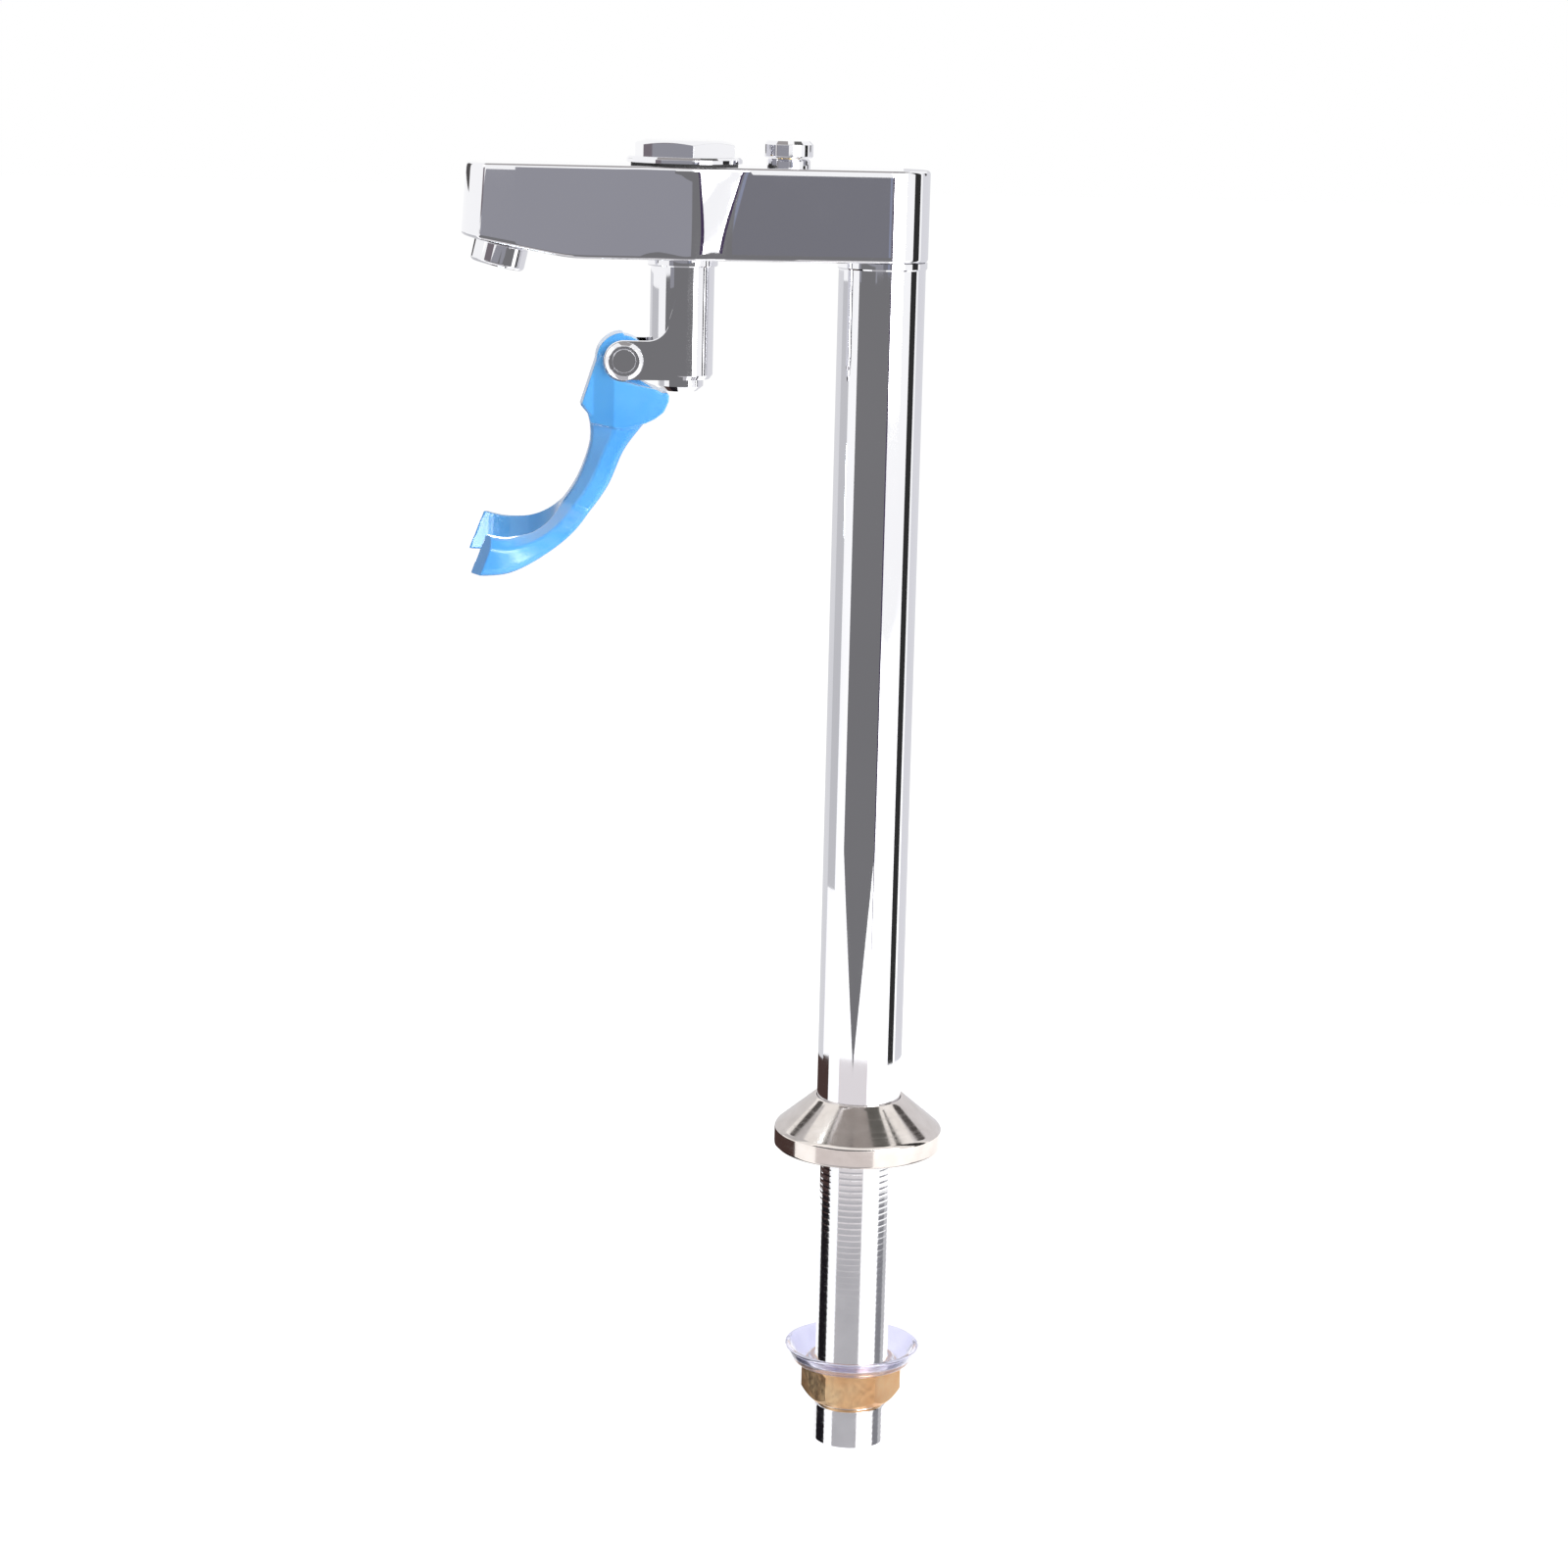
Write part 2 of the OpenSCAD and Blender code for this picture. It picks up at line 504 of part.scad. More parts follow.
module hub_outline() {
    circle(r = 6.7);
    intersection() {
        circle(r = hub_r);
        translate([-2 * hub_r, -hub_r]) square([2 * hub_r, 2 * hub_r]);
    }
    polygon([[-hub_r, 0], [-11.2, -12], [-9, -15], [8, -14.5], [8, pad_z + 1.2], [4.2, -5.2]]);
}
module push_lever() color([0.22, 0.55, 0.92]) at_pivot() difference() {
    union() {
        side_plate(hub_w) hub_outline();
        intersection() {
            side_plate(block_w) block_outline();
            translate([0, 0, -20]) linear_extrude(30) polygon([for (s = [[1, 20], [1, -2.5], [0.42, -11.6],
                [-0.42, -11.6], [-1, -2.5], [-1, 20]]) [s[0] * block_w / 2, s[1]]]);
        }
        lever_blade();
    }
    cross_bar(pin_d + 2 * run_gap, block_w + 10);
    translate([0, -fork_front, -2 * fork_root]) cylinder(h = 2 * fork_root,
        r1 = fork_in_r - fork_flare * fork_root, r2 = fork_in_r + fork_flare * fork_root);
    horn_trim();
    mirror([1, 0, 0]) horn_trim();
}

// The flow regulator: a drilled plug turned by a slotted knob
spindle_d = 6;
regulator_seal_z = gland_foot_z - 1.3;
module regulator_spindle() color([0.75, 0.65, 0.4]) at_regulator() difference() {
    union() {
        shaft(plug_d, plug_foot_z, gland_foot_z - 0.3);
        shaft(spindle_d, gland_foot_z - 1, arm_top_z + 6);
    }
    translate([0, 0, inlet_way_z]) rotate([90, 0, 0]) cylinder(d = inlet_way_d, h = 20, center = true);
    seal_groove(plug_d, regulator_seal_z);
}
module regulator_seal() color([0.12, 0.12, 0.12]) at_regulator() groove_ring(plug_d, regulator_seal_z);
module regulator_gland() color([0.8, 0.81, 0.84]) at_regulator() difference() {
    translate([0, 0, gland_foot_z]) rotate_extrude() polygon([[spindle_d / 2 + run_gap, 0], [gland_d / 2, 0],
        [gland_d / 2, 5.4], [gland_d / 2 - 0.6, 6], [spindle_d / 2 + run_gap, 6]]);
    for (a = [0:90:270]) rotate([0, 0, a + 45]) translate([gland_d / 2, 0, gland_foot_z + 5.5])
        cube([2.2, 1.8, 2.4], center = true);
}
knob_foot_z = arm_top_z + 2.7;
module regulator_knob() color([0.8, 0.81, 0.84]) at_regulator() difference() {
    translate([0, 0, knob_foot_z]) rotate_extrude() polygon([[0, 0], [knob_d / 2 - 0.4, 0], [knob_d / 2, 0.4],
        [knob_d / 2, knob_h - 1], [knob_d / 2 - 1, knob_h], [0, knob_h]]);
    shaft(spindle_d + 2 * seat_gap, knob_foot_z - overrun, arm_top_z + 6);
    translate([0, 0, knob_foot_z + knob_h]) cube([knob_d + 2, 1.6, 1.8], center = true);
}

// The spout's nozzle, the straightener that rests on the step in its bore, and its seal
nozzle_shoulder_z = -0.45;
nozzle_step_z = 4.4 - nozzle_h;
nozzle_throat_d = 7.6;
nozzle_seal_z = 2;
module nozzle() color([0.8, 0.81, 0.84]) at_nozzle() difference() {
    union() {
        rotate_extrude() polygon([[0, -nozzle_h], [nozzle_d / 2 - 0.7, -nozzle_h], [nozzle_d / 2, -nozzle_h + 0.7],
            [nozzle_d / 2, nozzle_shoulder_z], [0, nozzle_shoulder_z]]);
        shaft(nozzle_spigot_d, nozzle_shoulder_z - overrun, nozzle_spigot_h);
    }
    shaft(nozzle_bore_d, -nozzle_h - overrun, nozzle_step_z);
    shaft(nozzle_throat_d, -nozzle_h, nozzle_spigot_h + overrun);
    seal_groove(nozzle_spigot_d, nozzle_seal_z);
}
module outlet_insert() color([0.85, 0.86, 0.88]) at_nozzle() difference() {
    shaft(nozzle_bore_d - 2 * seat_gap, -nozzle_h + 0.8, nozzle_step_z);
    for (a = [0:60:300]) rotate([0, 0, a]) translate([nozzle_bore_d * 0.31, 0, 0]) jet_hole();
    jet_hole();
}
module jet_hole() { translate([0, 0, -nozzle_h]) cylinder(d = 2.1, h = 6, $fn = 24); }
module nozzle_seal() color([0.12, 0.12, 0.12]) at_nozzle() groove_ring(nozzle_spigot_d, nozzle_seal_z);

// The union that joins the arm to the column, with its visible collar
union_sleeve_h = 16;
union_collar_h = 2;
union_bore_d = 11;
module riser_union() color([0.8, 0.81, 0.84]) difference() {
    union() {
        shaft(riser_bore_d - 4 * seat_gap, arm_under_z - union_sleeve_h, arm_under_z - union_collar_h + overrun);
        translate([0, 0, arm_under_z - union_collar_h]) rotate_extrude() polygon([[0, 0], [riser_d / 2 + 0.1, 0],
            [riser_d / 2 + 0.4, 0.4], [riser_d / 2 + 0.4, union_collar_h], [0, union_collar_h]]);
        shaft(union_spigot_d, arm_under_z - overrun, union_socket_z - 1.6);
    }
    shaft(union_bore_d, arm_under_z - union_sleeve_h - overrun, union_socket_z);
}
module union_seal() color([0.12, 0.12, 0.12])
    ring(union_spigot_d - 0.4, union_bore_d + 0.4, union_socket_z - 1.6, union_socket_z);

// The column, its foot and the threaded shank
module riser_tube() color([0.82, 0.83, 0.86]) ring(riser_d, riser_bore_d, riser_foot_z,
    arm_under_z - union_collar_h);
shank_hole_d = shank_d + 0.3;
module escutcheon() color([0.76, 0.74, 0.72]) difference() {
    rotate_extrude() polygon([[0, 0], [base_d / 2 - 0.5, 0], [base_d / 2, 0.5], [base_d / 2, base_rim_h],
        [base_d / 2 - 0.9, base_rim_h + 0.7], [base_d / 2 - 4.4, base_rim_h + 2.7],
        [riser_d / 2 + 3, base_neck_z - 2.6], [riser_d / 2 + 1.5, base_neck_z - 0.5],
        [riser_d / 2 + 0.9, base_neck_z], [0, base_neck_z]]);
    shaft(base_bore_d, riser_foot_z, base_neck_z + overrun);
    shaft(shank_hole_d, -overrun, riser_foot_z + overrun);
    shaft(base_d - 2 * base_wall, -overrun, base_recess_h);
}
module base_gasket() color([0.12, 0.12, 0.12]) ring(base_d - 2 * base_wall - 0.4,
    shank_hole_d + 0.4, 0, base_recess_h);
// The thread's relief groove between the locknut and the free end
relief_depth = 0.6;
relief_h = 1.4;
module shank() color([0.74, 0.74, 0.76]) difference() {
    translate([0, 0, -shank_drop]) rotate_extrude() polygon([[0, 0], [shank_d / 2 - 1.2, 0], [shank_d / 2, 1.2],
        [shank_d / 2, shank_drop + shank_top_z], [0, shank_drop + shank_top_z]]);
    shaft(shank_bore_d, -shank_drop - overrun, shank_top_z + overrun);
    translate([0, 0, tail_h - shank_drop]) rotate_extrude() polygon([[shank_d / 2 - relief_depth, relief_depth],
        [shank_d / 2 + 1, -1], [shank_d / 2 + 1, relief_h + 1], [shank_d / 2 - relief_depth, relief_h - relief_depth]]);
}

// The dished washer and the locknut that hold the tap from below
module dished_washer() color([0.75, 0.74, 0.95, 0.6]) translate([0, 0, washer_z]) rotate_extrude() {
    r0 = shank_d / 2 + 2 * run_gap;
    r1 = washer_d / 2;
    polygon([[r0, 0], [r1 - 5.2, 0], [r1 - 2.2, 1.4], [r1 - 0.7, washer_h - 1], [r1, washer_h - 0.7],
        [r1, washer_h], [r1 - 1.4, washer_h], [r1 - 3.4, washer_wall + 1.4], [r1 - 6, washer_wall],
        [r0 + 2, washer_wall], [r0 + 1.4, washer_wall + 0.8], [r0, washer_wall + 0.8]]);
}
nut_z = washer_z - nut_h - 0.05;
module locknut() color([0.83, 0.66, 0.42]) difference() {
    intersection() {
        hexagon(nut_af, nut_z, nut_z + nut_h);
        translate([0, 0, nut_z]) rotate_extrude() polygon([[0, 0], [nut_af / 2 - 0.8, 0],
            [nut_af * 0.585, 2.9], [nut_af * 0.585, nut_h - 0.8], [nut_af * 0.52, nut_h], [0, nut_h]]);
    }
    shaft(shank_d + 2 * run_gap, nut_z - overrun, nut_z + nut_h + overrun);
}

head_body();
valve_cap();
cap_gasket();
return_spring();
stem_nut();
valve_disc();
valve_stem();
push_button();
seat_ring();
valve_housing();
housing_ring();
packing_gland();
stem_seals();
pivot_pin();
pin_clip();
push_lever();
regulator_spindle();
regulator_gland();
regulator_knob();
regulator_seal();
nozzle();
outlet_insert();
nozzle_seal();
riser_union();
union_seal();
riser_tube();
escutcheon();
base_gasket();
shank();
dished_washer();
locknut();
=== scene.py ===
"""Looks of a push-handle table tap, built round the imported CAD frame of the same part.

The frame gives every solid its place. This file rebuilds the cast arm, the moulded lever, the
threaded shank and the other visible metal as finer meshes, dresses all pieces with procedural
finishes, and sets up a white studio and the camera of the photograph.
"""

import json
import logging
import math
from dataclasses import dataclass, field
from enum import Enum
from typing import Iterable, Sequence

import bmesh
import bpy
from mathutils import Matrix, Vector

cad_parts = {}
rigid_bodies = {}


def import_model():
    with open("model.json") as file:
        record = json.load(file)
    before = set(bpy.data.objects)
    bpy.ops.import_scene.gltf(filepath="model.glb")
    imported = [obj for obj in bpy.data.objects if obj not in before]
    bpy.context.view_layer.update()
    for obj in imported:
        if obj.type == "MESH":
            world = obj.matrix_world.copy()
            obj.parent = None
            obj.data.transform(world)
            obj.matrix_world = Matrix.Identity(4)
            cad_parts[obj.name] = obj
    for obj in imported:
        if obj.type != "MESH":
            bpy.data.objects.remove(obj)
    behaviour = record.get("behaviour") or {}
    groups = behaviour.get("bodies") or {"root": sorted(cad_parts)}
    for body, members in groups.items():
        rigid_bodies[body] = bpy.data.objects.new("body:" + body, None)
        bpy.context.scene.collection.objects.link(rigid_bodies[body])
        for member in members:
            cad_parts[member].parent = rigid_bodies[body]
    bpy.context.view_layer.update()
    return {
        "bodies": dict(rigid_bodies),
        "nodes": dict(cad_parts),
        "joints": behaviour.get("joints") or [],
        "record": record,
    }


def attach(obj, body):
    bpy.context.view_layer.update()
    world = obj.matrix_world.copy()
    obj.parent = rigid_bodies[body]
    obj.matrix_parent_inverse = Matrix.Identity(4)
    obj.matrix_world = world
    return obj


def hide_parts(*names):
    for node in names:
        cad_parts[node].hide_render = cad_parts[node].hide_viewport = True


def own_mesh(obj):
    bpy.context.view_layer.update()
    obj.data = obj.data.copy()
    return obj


MM = 0.001

Point = tuple[float, float, float]
Pair = tuple[float, float]
Colour = tuple[float, float, float]
OutlineRow = tuple[float, float, float, float, float, float | None]

WHITE = (1.0, 1.0, 1.0, 1.0)

# Stretch, finer layers and usual range of the random patterns in the finishes.
EVEN = (1.0, 1.0, 1.0)
UPRIGHT_STRETCH = (1.0, 1.0, 0.04)
MARK_LAYERS = 4.0
CLOUD_LAYERS = 2.0
CLOUD_SHARE = 0.12
COMMON_NOISE = (0.3, 0.7)
BLEND_STOPS = (0.32, 0.68)

# Gloss layer, inner glow and clearness of the plastics.
GLOSS_ROUGHNESS = 0.12
GLOW_SHARE = 0.35
GLOW_REACH = (0.6, 0.8, 1.0)
PLASTIC_IOR = 1.4
CLEAR_COAT = 0.3

# Fineness of the meshes. A full turn has its first and last angle in degrees and its count of steps.
CARD_STEPS = 32
FINE_STEPS = 192
FULL_TURN = (0.0, 355.0, 71)
SOFT_CREASE = 40.0
WELD_DISTANCE = 1e-7
LARGEST_ROUNDING = 0.45

log = logging.getLogger("tap")


class Slot(str, Enum):
    """Finish names of the record."""

    CHROME = "chrome"
    WARM_CHROME = "warm_chrome"
    THREAD_CHROME = "thread_chrome"
    BLUE_PLASTIC = "blue_plastic"
    CLEAR_PLASTIC = "clear_plastic"
    WHITE_PLASTIC = "white_plastic"
    NUT_BRASS = "nut_brass"
    BRASS = "brass"
    SPRING_STEEL = "spring_steel"
    RUBBER = "rubber"


class Body(str, Enum):
    """Groups of the frame that the new pieces ride on."""

    STAND = "stand"
    LEVER = "lever"
    REGULATOR = "regulator"
    WASHER = "washer"
    NUT = "nut"


class Lay(str, Enum):
    """Direction in which the fine marks of a surface run."""

    SPOTS = "spots"
    UPRIGHT = "upright"
    ROUND = "round"


def srgb(red: int, green: int, blue: int) -> Colour:
    """Turn a screen colour into the linear values that shaders take.

    Args:
        red: Red from 0 to 255.
        green: Green from 0 to 255.
        blue: Blue from 0 to 255.

    Returns:
        The three linear values from 0 to 1.
    """

    def linear(value: int) -> float:
        """Give one linear value from a screen value of 0 to 255."""
        share = value / 255
        return share / 12.92 if share <= 0.04045 else ((share + 0.055) / 1.055) ** 2.4

    return linear(red), linear(green), linear(blue)


class NodeBench:
    """A short way to add and join the nodes of one material or world."""

    def __init__(self, tree: bpy.types.NodeTree) -> None:
        """Start on a node tree, which is emptied."""
        self.tree = tree
        tree.nodes.clear()

    @staticmethod
    def fresh(name: str) -> tuple[bpy.types.Material, "NodeBench"]:
        """Make an empty material.

        Args:
            name: Its name.

        Returns:
            The material and the bench that fills it.
        """
        material = bpy.data.materials.new(name)
        material.use_nodes = True
        return material, NodeBench(material.node_tree)

    def add(self, kind: str, **sockets: object) -> bpy.types.Node:
        """Add a node and set its inputs.

        Args:
            kind: Type name of the node.
            **sockets: Input values or output sockets, by input name with _ for a space; a name that
                starts with p_ sets a property of the node.

        Returns:
            The new node.
        """
        node = self.tree.nodes.new(kind)
        for key, value in sockets.items():
            if key.startswith("p_"):
                setattr(node, key[2:], value)
                continue
            target = node.inputs[int(key[1:])] if key[0] == "i" and key[1:].isdigit() else None
            target = target or node.inputs[key.replace("_", " ")]
            if isinstance(value, bpy.types.NodeSocket):
                self.tree.links.new(value, target)
            else:
                target.default_value = value
        return node

    def place_vector(self, scale: Point) -> bpy.types.NodeSocket:
        """Give the place on the object, stretched along X, Y and Z."""
        coords = self.add("ShaderNodeTexCoord")
        return self.add("ShaderNodeMapping", Vector=coords.outputs["Object"], Scale=scale).outputs["Vector"]

    def round_vector(self, along: float, radial: float) -> bpy.types.NodeSocket:
        """Give a place made of the distance from the Z axis and the height, for turned marks.

        Args:
            along: Stretch of the height.
            radial: Stretch of the distance from the axis.

        Returns:
            The vector output.
        """
        coords = self.add("ShaderNodeTexCoord")
        split = self.add("ShaderNodeSeparateXYZ", Vector=coords.outputs["Object"])

        def work(way: str, *inputs: object) -> bpy.types.NodeSocket:
            """Add one sum of a kind and give its result."""
            sockets = {f"i{spot}": value for spot, value in enumerate(inputs)}
            return self.add("ShaderNodeMath", p_operation=way, **sockets).outputs[0]

        x, y, z = (split.outputs[axis] for axis in "XYZ")
        radius = work("SQRT", work("ADD", work("MULTIPLY", x, x), work("MULTIPLY", y, y)))
        flat, high = work("MULTIPLY", radius, radial), work("MULTIPLY", z, along)
        return self.add("ShaderNodeCombineXYZ", X=flat, Y=0.0, Z=high).outputs["Vector"]

    def noise(self, vector: bpy.types.NodeSocket, scale: float, detail: float) -> bpy.types.NodeSocket:
        """Give a soft random value, read at a vector, with a fineness and a count of finer layers."""
        return self.add("ShaderNodeTexNoise", Vector=vector, Scale=scale, Detail=detail).outputs["Fac"]

    def spread(self, value: bpy.types.NodeSocket, low: float, high: float) -> bpy.types.NodeSocket:
        """Spread a random value, mostly from 0.3 to 0.7, over a range from low to high."""
        ranges = {"From_Min": COMMON_NOISE[0], "From_Max": COMMON_NOISE[1], "To_Min": low, "To_Max": high}
        return self.add("ShaderNodeMapRange", Value=value, **ranges).outputs["Result"]

    def blend(self, share: bpy.types.NodeSocket, first: Colour, second: Colour) -> bpy.types.NodeSocket:
        """Blend two colours.

        Args:
            share: Share of the second colour.
            first: The first colour.
            second: The second colour.

        Returns:
            The colour output.
        """
        ramp = self.add("ShaderNodeValToRGB", Fac=share)
        for stop, place, colour in zip(ramp.color_ramp.elements, BLEND_STOPS, (first, second)):
            stop.position, stop.color = place, (*colour, 1.0)
        return ramp.outputs["Color"]

    def bump(self, height: bpy.types.NodeSocket, depth_mm: float) -> bpy.types.NodeSocket:
        """Turn a height into a bumped normal, with the depth of a full step in millimetres."""
        bump = self.add("ShaderNodeBump", Height=height, Distance=depth_mm * MM, Strength=1.0)
        return bump.outputs["Normal"]


@dataclass(frozen=True)
class Finish:
    """A finish that any piece can take.

    Attributes:
        slot: Name of the finish in the record.
        dark: Darker of its two close colours.
        light: Lighter of its two close colours.
        smooth: Lowest roughness.
        rough: Highest roughness.
        lay: Direction of its fine marks.
        fineness: How fine the marks are, per metre.
        depth_mm: Depth of the marks.
    """

    slot: Slot
    dark: Colour
    light: Colour
    smooth: float
    rough: float
    lay: Lay = Lay.SPOTS
    fineness: float = 300.0
    depth_mm: float = 0.002

    def marks(self, bench: NodeBench) -> bpy.types.NodeSocket:
        """Give the pattern of fine marks.

        Args:
            bench: The bench of the material.

        Returns:
            The value output of the pattern.
        """
        if self.lay is Lay.ROUND:
            return bench.noise(bench.round_vector(1.0, 1.0), self.fineness, MARK_LAYERS)
        stretch = UPRIGHT_STRETCH if self.lay is Lay.UPRIGHT else EVEN
        return bench.noise(bench.place_vector(stretch), self.fineness, MARK_LAYERS)

    def base(self, bench: NodeBench) -> dict[str, object]:
        """Give the inputs that every finish shares.

        Args:
            bench: The bench of the material.

        Returns:
            Base colour, roughness and normal of the shader.
        """
        marks = self.marks(bench)
        cloud = bench.noise(bench.place_vector(EVEN), self.fineness * CLOUD_SHARE, CLOUD_LAYERS)
        return {
            "Base_Color": bench.blend(cloud, self.dark, self.light),
            "Roughness": bench.spread(marks, self.smooth, self.rough),
            "Normal": bench.bump(marks, self.depth_mm),
        }

    def own(self) -> dict[str, object]:
        """Give the inputs that only this kind of finish has."""
        return {}

    def material(self) -> bpy.types.Material:
        """Make the material.

        Returns:
            The finished material.
        """
        made, bench = NodeBench.fresh(self.slot.value)
        shader = bench.add("ShaderNodeBsdfPrincipled", **self.base(bench), **self.own())
        bench.add("ShaderNodeOutputMaterial", Surface=shader.outputs[0])
        made.diffuse_color = (*self.light, 1.0)
        return made


@dataclass(frozen=True)
class MetalFinish(Finish):
    """Bare or plated metal."""

    def own(self) -> dict[str, object]:
        """Give the metal its mirror."""
        return {"Metallic": 1.0}


@dataclass(frozen=True)
class PlasticFinish(Finish):
    """Moulded plastic or rubber.

    Attributes:
        gloss: Strength of the gloss layer.
        glow_mm: How deep light goes into it.
    """

    gloss: float = 0.0
    glow_mm: float = 0.0

    def own(self) -> dict[str, object]:
        """Give the plastic its gloss layer and depth.

        Returns:
            Coat and subsurface inputs of the shader.
        """
        return {
            "Coat_Weight": self.gloss,
            "Coat_Roughness": GLOSS_ROUGHNESS,
            "Subsurface_Weight": GLOW_SHARE if self.glow_mm else 0.0,
            "Subsurface_Radius": GLOW_REACH,
            "Subsurface_Scale": self.glow_mm * MM,
        }


@dataclass(frozen=True)
class ClearFinish(Finish):
    """Plastic that lets light through.

    Attributes:
        passing: Share of the light that passes.
    """

    passing: float = 1.0

    def own(self) -> dict[str, object]:
        """Let light through."""
        return {"Transmission_Weight": self.passing, "IOR": PLASTIC_IOR, "Coat_Weight": CLEAR_COAT}


FINISHES: tuple[Finish, ...] = (
    MetalFinish(Slot.CHROME, (0.87, 0.87, 0.9), (0.93, 0.93, 0.955), 0.015, 0.05, Lay.SPOTS, 90.0, 0.001),
    MetalFinish(
        Slot.WARM_CHROME, srgb(226, 218, 212), srgb(238, 231, 226), 0.06, 0.16, Lay.ROUND, 1500.0, 0.003,
    ),
    MetalFinish(
        Slot.THREAD_CHROME, (0.82, 0.82, 0.84), (0.9, 0.9, 0.92), 0.06, 0.16, Lay.ROUND, 900.0, 0.003,
    ),
    PlasticFinish(
        Slot.BLUE_PLASTIC, srgb(84, 170, 246), srgb(100, 184, 252), 0.14, 0.26, Lay.SPOTS, 500.0, 0.004,
        gloss=0.6, glow_mm=1.2,
    ),
    ClearFinish(
        Slot.CLEAR_PLASTIC, srgb(214, 214, 248), srgb(232, 232, 254), 0.06, 0.2, Lay.ROUND, 500.0, 0.006,
        passing=0.9,
    ),
    PlasticFinish(Slot.WHITE_PLASTIC, srgb(205, 206, 210), srgb(228, 229, 232), 0.3, 0.45),
    MetalFinish(Slot.NUT_BRASS, srgb(240, 182, 128), srgb(255, 220, 172), 0.3, 0.5, Lay.SPOTS, 700.0, 0.02),
    MetalFinish(Slot.BRASS, srgb(196, 164, 96), srgb(226, 198, 132), 0.14, 0.3, Lay.ROUND, 1200.0, 0.004),
    MetalFinish(Slot.SPRING_STEEL, (0.5, 0.5, 0.52), (0.66, 0.66, 0.68), 0.16, 0.3, Lay.SPOTS, 900.0, 0.003),
    PlasticFinish(Slot.RUBBER, (0.02, 0.02, 0.02), (0.045, 0.045, 0.045), 0.5, 0.7, Lay.SPOTS, 1500.0, 0.01),
)


@dataclass
class FinishRack:
    """All finishes of the tap, made once and shared."""

    made: dict[Slot, bpy.types.Material] = field(default_factory=dict)

    def fill(self, finishes: Iterable[Finish]) -> None:
        """Make every finish.

        Args:
            finishes: The finishes.
        """
        for finish in finishes:
            self.made[finish.slot] = finish.material()
            log.info("finish %s", finish.slot.value)

    def dress(self, piece: bpy.types.Object, slot: Slot) -> None:
        """Give a piece one finish."""
        piece.data.materials.clear()
        piece.data.materials.append(self.made[slot])


